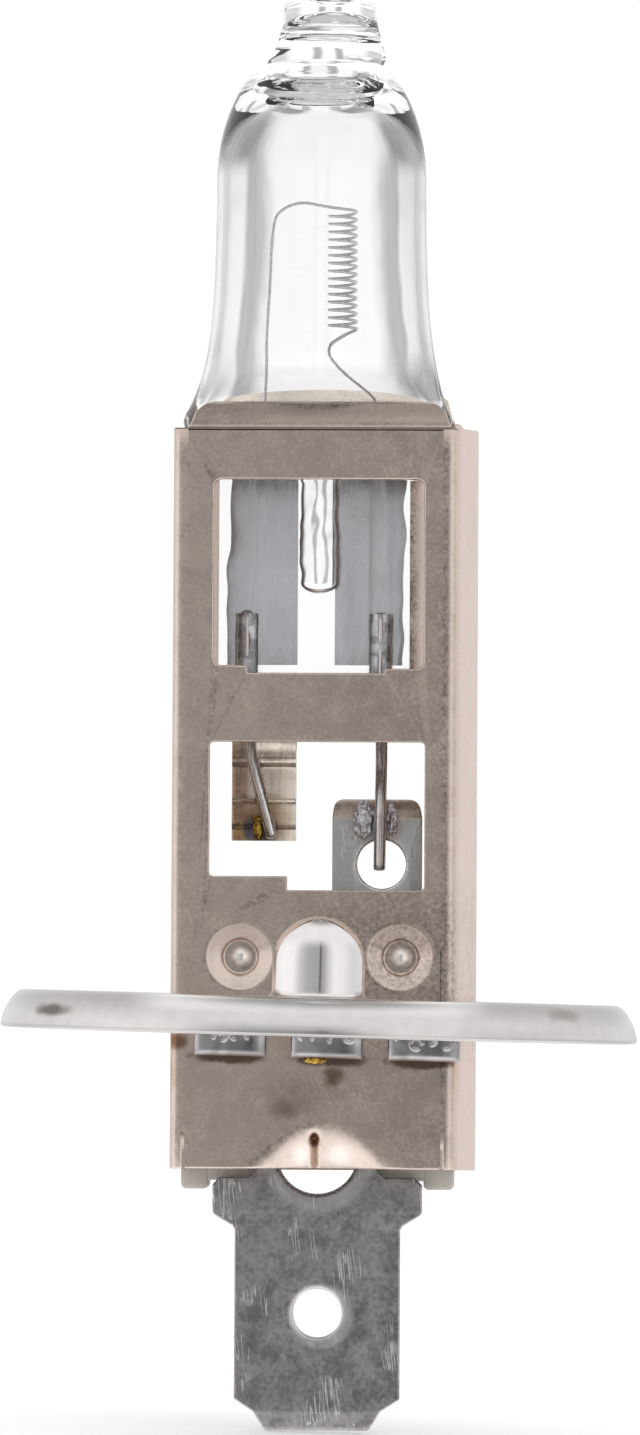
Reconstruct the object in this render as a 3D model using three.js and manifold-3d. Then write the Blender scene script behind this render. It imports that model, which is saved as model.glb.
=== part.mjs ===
// A halogen headlight bulb with a prefocus flange and one flat blade contact.
// Millimetres. The origin is the centre of the flange's seating face, +Z points to the glass tip
// and -Y is the bulb's front. The lamp itself leans a little in its flange, because the flange is
// welded on once the coil stands on the flange's own axis.
import * as THREE from 'three';
import { mergeVertices } from 'three/addons/utils/BufferGeometryUtils.js';
import Module from 'manifold-3d';

const wasm = await Module();
wasm.setup();

// ---- driving dimensions ----

const LEAN = THREE.MathUtils.degToRad(-1.33); // of the lamp against the flange's axis, about Y
const LAMP_OFFSET_X = -0.09;

const SHEET = 0.4; // sleeve sheet thickness
const SLEEVE_FRONT_Y = -4.9;
const SLEEVE_REAR_Y = 4.3;
const SLEEVE_FRONT_HALF = 5.35; // half width at the front wall
const SLEEVE_REAR_HALF = 5.91; // half width where the side walls end
const SLEEVE_REAR_X = 0.1; // the side walls splay a little more to the right
const SLEEVE_BOTTOM = -6.42; // at the front wall
const SLEEVE_REAR_BOTTOM = -6.67;
const SLEEVE_TOP = 21.4; // where the front lip starts
const SIDE_REAR_TOP = 22; // the side walls are a little taller at the rear
const REAR_TOP = 22.35; // where the rear lip starts
const BEND_RADIUS = 0.55; // outside of a sheet bend
const LIP = { left: -4.78, right: 5.15, slant: 0.6, flatHalf: 2 }; // seen from the front
const FRONT_LIP = { rise: 0.92, reach: 0.95, crown: 0 };
const REAR_LIP = { rise: 1.3, reach: 0.3, crown: 0.4 }; // lower at its corners by the crown
const REAR_FLANGE = 2.3; // depth of the rear sheet's flanges, inside the side walls
const NEST_GAP = 0.06; // between the side walls and the rear sheet's flanges

const UPPER_WINDOW = { left: -3.81, right: 4.08, bottom: 12.18, top: 19.46, radius: 0.3 };
const UPPER_WINDOW_LEDGES = [
  { left: -3.81, right: -2.55, height: 0.28 },
  { left: 2.62, right: 4.08, height: 0.17 },
];
const LOWER_WINDOW = { left: -3.93, right: 4.14, bottom: 4.02, top: 9.58, radius: 0.18 };
const LOWER_WINDOW_LEDGES = [{ left: -3.93, right: -1.0, height: 0.52 }];
const REAR_UPPER_WINDOW = { left: -4.5, right: 4.5, bottom: 12.35, top: 20.1, radius: 0.18 };
const REAR_LOWER_WINDOW = { left: -4.5, right: 4.5, bottom: 3.8, top: 9.95, radius: 0.18 };

const DIMPLE_X = [-2.75, 3.26];
const DIMPLE_Z = 1.51;
const DIMPLE_RADIUS = 1.25;
const DIMPLE_DEPTH = 0.3;
const DIMPLE_FLOOR_RADIUS = 0.68;
const DIMPLE_BULGE = 0.25; // of the sheet's back behind a dimple
const PIT = { radius: 0.38, floorRadius: 0.2, depth: 0.45 }; // in the dimple's floor
const CRIMP_X = 0.07;
const CRIMP_TOP = -5.0;
const CRIMP_RADIUS = 0.32;

const TONGUE_X = -2.1;
const TONGUE_WIDTH = 2.5;
const TONGUE_END = 5.95;
const TONGUE_Y = 0.6; // of the hanging part, along the sheet's middle
const TONGUE_RIDGE_Y = 0.5; // of the two pressed ridges

const GLASS_RADIUS = 4;
const GLASS_TIP = 38.06;
const STUB_BASE = 35.6;
const STUB_X = 0.29;
const DOME_START = 31.3;
const DOME_HEIGHT = 5.5;
const FLARE_Z = 22.1;
const FLARE_EXTRA = 1.15;
const FLARE_FADE = 2.1;
const PINCH_X = -0.14;
const PINCH_HALF_WIDTH = 4.7;
const PINCH_HALF_DEPTH = 1.3;
const PINCH_BOTTOM = 11.9;
const PINCH_TOP = 20.9;
const WALL = 0.45; // glass wall of the round part
const CAVITY_BOTTOM = 21.6;
const CAVITY_TOP = 34.15;
const CAVITY_FOOT_HALF = { x: 2.8, y: 0.35 };
const CHANNEL_BOTTOM = 15.5; // narrow end of the cavity between the foils
const CHANNEL_HALF = { x: 0.75, y: 0.3 };
const LEAD_SEAT_HALF = 0.45;
const STUB_TIP_RADIUS = 1.74;
const STUB_BASE_RADIUS = 2.3;

const FOIL_X = [-2.17, 1.94];
const FOIL_WIDTH = 2.7;
const FOIL_THICKNESS = 0.06;
const FOIL_Y = 0.3; // front face of both foils
const FOIL_BOTTOM = 12.66;
const FOIL_TOP = 22.0;
const FOIL_SLOT_MARGIN = 0.2;

const WIRE_RADIUS = 0.055;
const COIL_X = 0.82;
const COIL_RADIUS = 0.52; // to the wire's centre
const COIL_TURNS = 15.3;
const COIL_TOP = 30.1;
const COIL_PITCH = 0.303;

const LEAD_RADIUS = 0.23;
const LEAD_X = [-2.7, 2.31];
const LEAD_TOP = 14.67;

const TERMINAL_THICKNESS = 0.8;
const STEM = { left: -2.23, right: 2.32, top: -2.9 }; // the narrow part round the lock hole
const SHOULDER = { left: -3.95, right: 4.04, top: -6.87, bottom: -8.25 };
const BLADE_X = 0.06;
const BLADE_HALF = 3.15;
const BLADE_TOP = -8.75;
const BLADE_TIP = -16.49;
const BLADE_HOLE = { x: 0.07, z: -12.01, radius: 0.93 };
const LOCK_HOLE = { x: 0.03, z: -5.95, radius: 1.53 };
const PAD_HOLE = { x: 2.43, z: 5.08, radius: 0.93 };
const PAD_LEFT = 0.55;
const PAD_RIGHT = 3.97;
const PAD_TOP = 7.56;
const BLADE_BEVEL_Z = -15.75;
const BLADE_BEVEL_DEPTH = 0.2;
const TIP_CORNER_Z = -15.28;
const TIP_CORNER_HALF = 2.42;
const TIP_HALF = 1.98;

const INSULATOR_TOP = 3.6;
const INSULATOR_HALF = 4.8;
const FRONT_BLOCK_HALF = 4.75;
const FRONT_BLOCK_BOTTOM = -6.2;
const SLOT_HALF = 1.75; // of the slot in each block that leaves the lock hole open
const INSULATOR_GAP = 0.06; // to the terminal
const INSULATOR_BOTTOM = -7;
const FOOT_BOTTOM = -7.33; // of the two feet, which end in front of the rear sheet's flanges
const FOOT_BACK = 1.85;
const FEET_X = [[-5.2, -4.12], [4.07, 5.24]]; // left and right side of each foot

const FLANGE_RADIUS = 12.14;
const FLANGE_SHEET = 0.5;
const RIM_HEIGHT = 1.43;
const FLANGE_FLAT = 11.3; // radius where the flat seat ends and the rim curves down
const FLANGE_HOLE_GAP = 0.3;
const LUG_X = [-3.14, 0.48, 4.12];
const LUG_WIDTH = 2.75;
const LUG_THICKNESS = 0.45;
const LUG_BOTTOM = -2.29;
const LUG_GAP = 0.05; // weld line between a lug and the sleeve
const BOSS_X = 0.1;
const BOSS_RADIUS = 1.74;
const BOSS_HEIGHT = 3.06;
const BOSS_SKIN = 0.45;

// ---- solids ----

// Turns a three.js geometry into a manifold solid.
function solid(geometry) {
  const bare = geometry.index ? geometry.toNonIndexed() : geometry.clone();
  bare.deleteAttribute('normal');
  bare.deleteAttribute('uv');
  const merged = mergeVertices(bare, 1e-4);
  return new wasm.Manifold(new wasm.Mesh({
    numProp: 3,
    vertProperties: new Float32Array(merged.attributes.position.array),
    triVerts: new Uint32Array(merged.index.array),
  }));
}

// Turns a manifold solid back into a flat-shaded three.js geometry.
function geometryOf(body) {
  const mesh = body.getMesh();
  const geometry = new THREE.BufferGeometry();
  geometry.setAttribute('position', new THREE.BufferAttribute(mesh.vertProperties, 3));
  geometry.setIndex(new THREE.BufferAttribute(mesh.triVerts, 1));
  geometry.computeVertexNormals();
  return geometry;
}

function extruded(shape, depth, curveSegments) {
  return new THREE.ExtrudeGeometry(shape, { depth, bevelEnabled: false, curveSegments });
}

// A shape drawn in X and Z, made solid from y0 to y1.
function slab(shape, y0, y1, curveSegments = 8) {
  const geometry = extruded(shape, y1 - y0, curveSegments);
  geometry.rotateX(Math.PI / 2);
  geometry.translate(0, y1, 0);
  return solid(geometry);
}

// A shape drawn in X and Y, made solid from z0 to z1.
function column(shape, z0, z1) {
  const geometry = extruded(shape, z1 - z0, 6);
  geometry.translate(0, 0, z0);
  return solid(geometry);
}

// A side view drawn in Y and Z, made solid from x0 to x1.
function rail(shape, x0, x1) {
  const geometry = extruded(shape, x1 - x0, 6);
  const side = new THREE.Matrix4().set(0, 0, 1, x0, 1, 0, 0, 0, 0, 1, 0, 0, 0, 0, 0, 1);
  geometry.applyMatrix4(side);
  return solid(geometry);
}

function block(x0, x1, y0, y1, z0, z1) {
  const geometry = new THREE.BoxGeometry(x1 - x0, y1 - y0, z1 - z0);
  geometry.translate((x0 + x1) / 2, (y0 + y1) / 2, (z0 + z1) / 2);
  return solid(geometry);
}

// A round pin from y0 to y1, which may taper.
function pinAlongY(x, z, y0, y1, radius0, radius1, sides) {
  const geometry = new THREE.CylinderGeometry(radius1, radius0, y1 - y0, sides);
  geometry.translate(x, (y0 + y1) / 2, z);
  return solid(geometry);
}

// A closed outline with every corner rounded by its own radius: points are [x, y, radius].
function roundedOutline(points) {
  const shape = new THREE.Shape();
  const count = points.length;
  const corner = (i) => new THREE.Vector2(points[i % count][0], points[i % count][1]);
  for (let i = 0; i < count; i += 1) {
    const here = corner(i);
    const before = corner(i + count - 1).sub(here).normalize();
    const after = corner(i + 1).sub(here).normalize();
    const radius = points[i][2] || 0;
    const halfAngle = Math.acos(THREE.MathUtils.clamp(before.dot(after), -1, 1)) / 2;
    const reach = radius / Math.tan(halfAngle);
    const start = here.clone().addScaledVector(before, reach);
    const end = here.clone().addScaledVector(after, reach);
    if (i === 0) shape.moveTo(start.x, start.y);
    else shape.lineTo(start.x, start.y);
    if (radius > 0) shape.quadraticCurveTo(here.x, here.y, end.x, end.y);
  }
  shape.closePath();
  return shape;
}

// A bent strip of sheet: the outline of constant thickness about a line of points.
function stripOutline(points, thickness) {
  const line = points.map(([u, v]) => new THREE.Vector2(u, v));
  const sides = [[], []];
  line.forEach((point, i) => {
    const before = line[Math.max(i - 1, 0)];
    const after = line[Math.min(i + 1, line.length - 1)];
    const run = after.clone().sub(before).normalize();
    const normal = new THREE.Vector2(-run.y, run.x).multiplyScalar(thickness / 2);
    sides[0].push(point.clone().add(normal));
    sides[1].push(point.clone().sub(normal));
  });
  return new THREE.Shape([...sides[0], ...sides[1].reverse()]);
}

// A tall closed body whose cross-section at each station is a rounded box or an ellipse:
// stations are { z, x, halfX, halfY, power }, from the top down.
function loft(stations, sides) {
  const rows = stations.length - 1;
  const geometry = new THREE.CylinderGeometry(1, 1, 1, sides, rows);
  const position = geometry.attributes.position;
  for (let i = 0; i < position.count; i += 1) {
    const row = Math.round((0.5 - position.getY(i)) * rows);
    const { z, x, halfX, halfY, power } = stations[row];
    const sin = position.getX(i);
    const cos = position.getZ(i);
    const bend = (value) => Math.sign(value) * Math.abs(value) ** (2 / power);
    position.setXYZ(i, x + halfX * bend(sin), -halfY * bend(cos), z);
  }
  return solid(geometry);
}

function tubeAlong(points, radius, sides, steps) {
  const line = points.map(([x, y, z]) => new THREE.Vector3(x, y, z));
  const path = new THREE.CatmullRomCurve3(line, false, 'centripetal');
  const section = new THREE.Shape();
  for (let i = 0; i < sides; i += 1) {
    const turn = (2 * Math.PI * i) / sides;
    const [u, v] = [radius * Math.cos(turn), radius * Math.sin(turn)];
    if (i === 0) section.moveTo(u, v);
    else section.lineTo(u, v);
  }
  section.closePath();
  return solid(new THREE.ExtrudeGeometry(section, { steps, extrudePath: path }));
}

const { lerp, smoothstep } = THREE.MathUtils;

// ---- glass ----

function outerStation(z) {
  const dome = THREE.MathUtils.clamp((z - DOME_START) / DOME_HEIGHT, 0, 1);
  const round = GLASS_RADIUS * Math.sqrt(1 - dome * dome);
  const foot = smoothstep(z, PINCH_TOP, PINCH_TOP + 3.7);
  const flare = z > FLARE_Z
    ? FLARE_EXTRA * Math.exp(-(z - FLARE_Z) / FLARE_FADE)
    : lerp(PINCH_HALF_WIDTH - GLASS_RADIUS, FLARE_EXTRA, smoothstep(z, PINCH_TOP - 0.6, FLARE_Z));
  return {
    z,
    x: lerp(PINCH_X, 0, foot),
    halfX: round + flare,
    halfY: lerp(PINCH_HALF_DEPTH, round + Math.min(flare, 0.3) * 0.3, foot),
    power: lerp(6, 2, smoothstep(z, PINCH_TOP - 0.5, PINCH_TOP + 2.2)),
  };
}

function cavityStation(z) {
  const foot = smoothstep(z, CAVITY_BOTTOM, CAVITY_BOTTOM + 3.4);
  const inner = GLASS_RADIUS - WALL;
  const dome = THREE.MathUtils.clamp((z - DOME_START) / (CAVITY_TOP - DOME_START + 0.02), 0, 1);
  const round = inner * Math.sqrt(1 - dome * dome);
  return {
    z,
    x: lerp(PINCH_X, 0, foot),
    halfX: lerp(CAVITY_FOOT_HALF.x, round, smoothstep(z, CAVITY_BOTTOM, CAVITY_BOTTOM + 1.5)),
    halfY: lerp(CAVITY_FOOT_HALF.y, round, foot),
    power: 2,
  };
}

function foilSlot(x) {
  const half = FOIL_WIDTH / 2 + FOIL_SLOT_MARGIN;
  const rear = FOIL_Y + FOIL_THICKNESS + FOIL_SLOT_MARGIN;
  return block(x - half, x + half, -CAVITY_FOOT_HALF.y, rear, FOIL_BOTTOM - 0.3, CAVITY_BOTTOM + 1);
}

// The leads' and foils' seats run through the pinch into the cavity, so the inside is open.
function glassEnvelope() {
  const stub = [GLASS_TIP, 37.3, 36.6, 35.95].map((z) => {
    const drop = (GLASS_TIP - z) / (GLASS_TIP - STUB_BASE);
    const half = lerp(STUB_TIP_RADIUS, STUB_BASE_RADIUS, drop);
    return { z, x: STUB_X, halfX: half, halfY: half, power: 2 };
  });
  const neck = STUB_BASE_RADIUS + 0.08;
  const shoulder = { z: STUB_BASE + 0.05, x: STUB_X / 2, halfX: neck, halfY: neck, power: 2 };
  const dome = [35.42, 35.1, 34.6, 34, 33.3, 32.4, DOME_START];
  const wall = [28.5, 26.7, 25.4, 24.5, 23.8, 23.2, 22.6, 22.1, 21.6, 21.1, 20.4, PINCH_BOTTOM];
  const room = [CAVITY_TOP, 34, 33.6, 33, 32.2, DOME_START, 26, 25, 24.2, 23.5, 22.9, 22.3, CAVITY_BOTTOM];
  let body = loft([...stub, shoulder, ...[...dome, ...wall].map(outerStation)], 40);
  body = body.subtract(loft(room.map(cavityStation), 32));
  const { x: halfX, y: halfY } = CHANNEL_HALF;
  const [left, right] = [PINCH_X - halfX, PINCH_X + halfX];
  body = body.subtract(block(left, right, -halfY, halfY, CHANNEL_BOTTOM, CAVITY_BOTTOM + 1));
  for (const x of FOIL_X) body = body.subtract(foilSlot(x));
  const seat = LEAD_SEAT_HALF;
  for (const x of LEAD_X) {
    body = body.subtract(block(x - seat, x + seat, -seat, seat, PINCH_BOTTOM - 1, LEAD_TOP + 0.3));
  }
  return body;
}

// ---- filament, foils and leads ----

// The upper leg rises past the coil and bends over to its top, and the lower leg leaves the
// coil's last turn at the back, loops to the left and runs down to the right.
function filament() {
  const upperLeg = [
    [-2.2, 0.18, 21.2],
    [-2.16, 0.1, 22.2],
    [-2.1, 0, 24],
    [-1.96, 0, 27],
    [-1.84, 0, 29.4],
    [-1.6, 0, 30.02],
    [-0.85, -0.1, 30.36],
    [0.2, -0.4, 30.2],
  ];
  const coil = [];
  const stepsPerTurn = 12;
  for (let i = 0; i <= COIL_TURNS * stepsPerTurn; i += 1) {
    const turn = (2 * Math.PI * i) / stepsPerTurn;
    const x = COIL_X + COIL_RADIUS * Math.sin(turn);
    const y = -COIL_RADIUS * Math.cos(turn);
    coil.push([x, y, COIL_TOP - (COIL_PITCH * i) / stepsPerTurn]);
  }
  const lowerLeg = [
    [0.75, 0.45, 25.25],
    [0.29, 0.15, 24.9],
    [0.7, 0, 24.3],
    [2.07, 0, 22.9],
    [2.12, 0.1, 22.1],
    [2.12, 0.18, 21.2],
  ];
  return tubeAlong([...upperLeg, ...coil, ...lowerLeg], WIRE_RADIUS, 6, 260);
}

function foil(x) {
  const half = FOIL_WIDTH / 2;
  return block(x - half, x + half, FOIL_Y, FOIL_Y + FOIL_THICKNESS, FOIL_BOTTOM, FOIL_TOP);
}

function leftLead() {
  const points = [
    [LEAD_X[0], 0, LEAD_TOP],
    [LEAD_X[0], 0, 10.9],
    [-2.62, 0, 9.5],
    [-1.79, 0, 6.16],
  ];
  return tubeAlong(points, LEAD_RADIUS, 12, 14);
}

function rightLead() {
  const points = [
    [LEAD_X[1], 0, LEAD_TOP],
    [LEAD_X[1], 0, 11.6],
    [2.4, -0.12, 9.8],
    [2.39, -0.66, 7.4],
    [2.36, -0.7, 4.85],
  ];
  return tubeAlong(points, LEAD_RADIUS, 12, 16);
}

function weldNugget(x, y, z, halfX, halfY, halfZ) {
  const geometry = new THREE.SphereGeometry(1, 14, 10);
  geometry.scale(halfX, halfY, halfZ);
  geometry.translate(x, y, z);
  return solid(geometry);
}

// ---- sleeve ----

// The outer face of a side wall at a given depth: side is -1 for the left wall, 1 for the right.
function sideWallX(side, y) {
  const rear = SLEEVE_REAR_X + side * SLEEVE_REAR_HALF;
  const part = (y - SLEEVE_FRONT_Y) / (SLEEVE_REAR_Y - SLEEVE_FRONT_Y);
  return side * SLEEVE_FRONT_HALF + part * (rear - side * SLEEVE_FRONT_HALF);
}

function sleevePlan(inset, rearY, radius) {
  const front = SLEEVE_FRONT_Y + inset;
  return roundedOutline([
    [sideWallX(-1, rearY) + inset, rearY],
    [sideWallX(-1, front) + inset, front, radius],
    [sideWallX(1, front) - inset, front, radius],
    [sideWallX(1, rearY) - inset, rearY],
  ]);
}

function steppedWindow(window, ledges, y0, y1) {
  const { left, right, bottom, top, radius } = window;
  const corners = [[left, bottom], [right, bottom], [right, top], [left, top]];
  let hole = slab(roundedOutline(corners.map(([x, z]) => [x, z, radius])), y0, y1);
  for (const ledge of ledges) {
    const [z0, z1] = [bottom - 0.1, bottom + ledge.height];
    hole = hole.subtract(block(ledge.left - 0.1, ledge.right, y0 - 0.1, y1 + 0.1, z0, z1));
  }
  return hole;
}

// The upper or lower edge of the side walls at a given depth.
function sideEdge(y, frontZ, rearZ) {
  return frontZ + ((rearZ - frontZ) * (y - SLEEVE_FRONT_Y)) / (SLEEVE_REAR_Y - SLEEVE_FRONT_Y);
}

const sideTop = (y) => sideEdge(y, SLEEVE_TOP, SIDE_REAR_TOP);
const sideBottom = (y) => sideEdge(y, SLEEVE_BOTTOM, SLEEVE_REAR_BOTTOM);

// A lip of sheet that leans inward from the top of a wall: inward is +1 or -1 along Y.
function lip(wallY, top, inward, { rise, reach, crown }) {
  const overlap = 0.5;
  const line = [
    [wallY, top - overlap],
    [wallY, top - 0.1],
    [wallY + inward * 0.12 * reach, top + 0.12],
    [wallY + inward * reach, top + rise],
  ];
  const { left, right, slant, flatHalf } = LIP;
  const middle = (left + right) / 2;
  const edge = top + rise + 0.15;
  const face = roundedOutline([
    [left, top - overlap],
    [right, top - overlap],
    [right, top + 0.1, 0.2],
    [right - slant, edge - crown, 0.5],
    [middle + flatHalf, edge],
    [middle - flatHalf, edge],
    [left + slant, edge - crown, 0.5],
    [left, top + 0.1, 0.2],
  ]);
  const strip = rail(stripOutline(line, SHEET), -6, 6);
  return strip.intersect(slab(face, wallY - 2, wallY + 2));
}

function dimple(body, x) {
  const inner = SLEEVE_FRONT_Y + SHEET;
  const front = SLEEVE_FRONT_Y;
  const backing = pinAlongY(x, DIMPLE_Z, inner - 0.1, inner + DIMPLE_BULGE, DIMPLE_RADIUS + 0.1, 0.95);
  const cone = pinAlongY(x, DIMPLE_Z, front - 0.01, front + DIMPLE_DEPTH, DIMPLE_RADIUS, DIMPLE_FLOOR_RADIUS);
  const pit = pinAlongY(x, DIMPLE_Z, front + 0.2, front + PIT.depth, PIT.radius, PIT.floorRadius, 16);
  return body.add(backing).subtract(cone).subtract(pit);
}

function crimp() {
  const height = CRIMP_TOP - SLEEVE_BOTTOM + 0.2;
  const geometry = new THREE.ConeGeometry(CRIMP_RADIUS, height, 16);
  geometry.rotateX(Math.PI / 2);
  geometry.translate(CRIMP_X, SLEEVE_FRONT_Y - 0.04, CRIMP_TOP - height / 2);
  return solid(geometry);
}

function frontSleeve() {
  const past = SLEEVE_REAR_Y + 1;
  const outside = column(sleevePlan(0, SLEEVE_REAR_Y, BEND_RADIUS), SLEEVE_REAR_BOTTOM - 1, REAR_TOP + 1);
  const inside = column(sleevePlan(SHEET, past, BEND_RADIUS - SHEET), SLEEVE_REAR_BOTTOM - 2, REAR_TOP + 2);
  const sideView = roundedOutline([
    [SLEEVE_FRONT_Y, SLEEVE_BOTTOM],
    [past, sideBottom(past)],
    [past, sideTop(past)],
    [SLEEVE_FRONT_Y, SLEEVE_TOP],
  ]);
  let body = outside.subtract(inside).intersect(rail(sideView, -7, 7));
  const [y0, y1] = [SLEEVE_FRONT_Y - 1, SLEEVE_FRONT_Y + SHEET + 0.2];
  body = body.subtract(steppedWindow(UPPER_WINDOW, UPPER_WINDOW_LEDGES, y0, y1));
  body = body.subtract(steppedWindow(LOWER_WINDOW, LOWER_WINDOW_LEDGES, y0, y1));
  for (const x of DIMPLE_X) body = dimple(body, x);
  return body.subtract(crimp()).add(lip(SLEEVE_FRONT_Y + SHEET / 2, SLEEVE_TOP, 1, FRONT_LIP));
}

function tongue() {
  const line = [
    [SLEEVE_REAR_Y - SHEET / 2, 10.9],
    [SLEEVE_REAR_Y - 0.5, 10.55],
    [1.7, 10.4],
    [0.95, 10.1],
    [TONGUE_Y, 9.5],
    [TONGUE_RIDGE_Y, 9.1],
    [TONGUE_Y, 8.85],
    [TONGUE_Y, 7.5],
    [TONGUE_RIDGE_Y, 7.35],
    [TONGUE_RIDGE_Y, 6.6],
    [TONGUE_Y, 6.45],
    [TONGUE_Y, TONGUE_END],
  ];
  const half = TONGUE_WIDTH / 2;
  return rail(stripOutline(line, SHEET), TONGUE_X - half, TONGUE_X + half);
}

function rearSleeve() {
  const nest = SHEET + NEST_GAP;
  const frontY = SLEEVE_REAR_Y - REAR_FLANGE;
  const plan = (inset, endY, radius) => roundedOutline([
    [sideWallX(1, SLEEVE_REAR_Y) - nest - inset, SLEEVE_REAR_Y - inset, radius],
    [sideWallX(-1, SLEEVE_REAR_Y) + nest + inset, SLEEVE_REAR_Y - inset, radius],
    [sideWallX(-1, endY) + nest + inset, endY],
    [sideWallX(1, endY) - nest - inset, endY],
  ]);
  const outside = column(plan(0, frontY, BEND_RADIUS), SLEEVE_REAR_BOTTOM - 1, REAR_TOP);
  const inside = column(plan(SHEET, frontY - 1, BEND_RADIUS - SHEET), SLEEVE_REAR_BOTTOM - 2, REAR_TOP + 1);
  const past = SLEEVE_REAR_Y + 1;
  const bendY = SLEEVE_REAR_Y - BEND_RADIUS;
  const sideView = roundedOutline([
    [frontY - 1, sideBottom(frontY - 1)],
    [past, sideBottom(past)],
    [past, REAR_TOP],
    [bendY, REAR_TOP],
    [bendY, sideTop(bendY)],
    [frontY - 1, sideTop(frontY - 1)],
  ]);
  let body = outside.subtract(inside).intersect(rail(sideView, -7, 7));
  for (const window of [REAR_UPPER_WINDOW, REAR_LOWER_WINDOW]) {
    body = body.subtract(steppedWindow(window, [], SLEEVE_REAR_Y - SHEET - 0.2, past));
  }
  return body.add(lip(SLEEVE_REAR_Y - SHEET / 2, REAR_TOP, -1, REAR_LIP)).add(tongue());
}

// ---- terminal and insulator ----

function terminalBlade() {
  const outline = roundedOutline([
    [PAD_LEFT + 0.08, PAD_TOP, 0.42],
    [PAD_LEFT, 6.87],
    [PAD_LEFT, STEM.top],
    [STEM.left, STEM.top, 0.2],
    [STEM.left, -6.55],
    [-2.6, SHOULDER.top],
    [-3.7, SHOULDER.top],
    [SHOULDER.left, -7.15],
    [SHOULDER.left, SHOULDER.bottom, 0.3],
    [BLADE_X - BLADE_HALF - 0.1, BLADE_TOP + 0.05],
    [BLADE_X - BLADE_HALF, BLADE_TOP - 0.1],
    [BLADE_X - BLADE_HALF, TIP_CORNER_Z],
    [BLADE_X - TIP_CORNER_HALF, BLADE_BEVEL_Z],
    [BLADE_X - TIP_HALF, BLADE_TIP, 0.25],
    [BLADE_X + TIP_HALF, BLADE_TIP, 0.25],
    [BLADE_X + TIP_CORNER_HALF, BLADE_BEVEL_Z],
    [BLADE_X + BLADE_HALF, TIP_CORNER_Z],
    [BLADE_X + BLADE_HALF, BLADE_TOP - 0.1],
    [BLADE_X + BLADE_HALF + 0.1, BLADE_TOP + 0.05],
    [SHOULDER.right, SHOULDER.bottom, 0.3],
    [SHOULDER.right, -7.15],
    [3.77, SHOULDER.top],
    [2.6, SHOULDER.top],
    [STEM.right, -6.55],
    [STEM.right, -4.4, 0.2],
    [PAD_RIGHT, -3.4, 0.2],
    [PAD_RIGHT, 6.87],
    [PAD_RIGHT - 0.12, PAD_TOP, 0.5],
  ]);
  for (const hole of [BLADE_HOLE, LOCK_HOLE, PAD_HOLE]) {
    const path = new THREE.Path();
    path.absarc(hole.x, hole.z, hole.radius, 0, 2 * Math.PI, true);
    outline.holes.push(path);
  }
  const half = TERMINAL_THICKNESS / 2;
  let body = slab(outline, -half, half, 20);
  for (const side of [-1, 1]) {
    const wedge = new THREE.Shape([
      new THREE.Vector2(side * half, BLADE_BEVEL_Z),
      new THREE.Vector2(side * (half - BLADE_BEVEL_DEPTH), BLADE_TIP - 0.1),
      new THREE.Vector2(side * (half + 0.3), BLADE_TIP - 0.1),
      new THREE.Vector2(side * (half + 0.3), BLADE_BEVEL_Z),
    ]);
    body = body.subtract(rail(wedge, -5, 5));
  }
  return body;
}

function insulatorRear() {
  const [y0, y1] = [TERMINAL_THICKNESS / 2 + INSULATOR_GAP, SLEEVE_REAR_Y - SHEET - 0.15];
  const outline = roundedOutline([
    [-INSULATOR_HALF, INSULATOR_TOP, 0.3],
    [-INSULATOR_HALF, INSULATOR_BOTTOM],
    [-SLOT_HALF, INSULATOR_BOTTOM],
    [-SLOT_HALF, -5.6, 0.4],
    [SLOT_HALF, -5.6, 0.4],
    [SLOT_HALF, INSULATOR_BOTTOM],
    [INSULATOR_HALF, INSULATOR_BOTTOM],
    [INSULATOR_HALF, INSULATOR_TOP, 0.3],
  ]);
  let body = slab(outline, y0, y1);
  for (const [x0, x1] of FEET_X) {
    const foot = [[x0, -6.1], [x0, FOOT_BOTTOM, 0.25], [x1, FOOT_BOTTOM, 0.25], [x1, -6.1]];
    body = body.add(slab(roundedOutline(foot), y0, FOOT_BACK));
  }
  return body;
}

function insulatorFront() {
  const [y0, y1] = [SLEEVE_FRONT_Y + SHEET + 0.4, -TERMINAL_THICKNESS / 2 - INSULATOR_GAP];
  const outline = roundedOutline([
    [-FRONT_BLOCK_HALF, INSULATOR_TOP, 0.3],
    [-FRONT_BLOCK_HALF, FRONT_BLOCK_BOTTOM, 0.25],
    [-SLOT_HALF, FRONT_BLOCK_BOTTOM],
    [-SLOT_HALF, -4.2, 0.4],
    [SLOT_HALF, -4.2, 0.4],
    [SLOT_HALF, FRONT_BLOCK_BOTTOM],
    [FRONT_BLOCK_HALF, FRONT_BLOCK_BOTTOM, 0.25],
    [FRONT_BLOCK_HALF, INSULATOR_TOP, 0.3],
  ]);
  return slab(outline, y0, y1);
}

// ---- prefocus flange ----

function flangeDisc() {
  const profile = [
    [0, -FLANGE_SHEET],
    [11.2, -FLANGE_SHEET],
    [11.55, -0.75],
    [11.62, -RIM_HEIGHT],
    [12.02, -RIM_HEIGHT],
    [FLANGE_RADIUS, -1.3],
    [12.08, -0.95],
    [11.92, -0.6],
    [11.68, -0.28],
    [FLANGE_FLAT, 0],
    [0, 0],
  ].map(([r, z]) => new THREE.Vector2(r, z));
  const geometry = new THREE.LatheGeometry(profile, 72);
  geometry.rotateX(Math.PI / 2);
  return solid(geometry);
}

function bossBody(radius, height) {
  const bottom = -FLANGE_SHEET - 0.2;
  const profile = [new THREE.Vector2(0, bottom), new THREE.Vector2(radius, bottom)];
  const steps = 6;
  for (let i = 0; i < steps; i += 1) {
    const turn = (Math.PI / 2) * (i / steps);
    profile.push(new THREE.Vector2(radius * Math.cos(turn), height - radius + radius * Math.sin(turn)));
  }
  profile.push(new THREE.Vector2(0, height));
  const geometry = new THREE.LatheGeometry(profile, 28);
  geometry.rotateX(Math.PI / 2);
  geometry.translate(BOSS_X, SLEEVE_FRONT_Y, 0);
  return solid(geometry);
}

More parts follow.
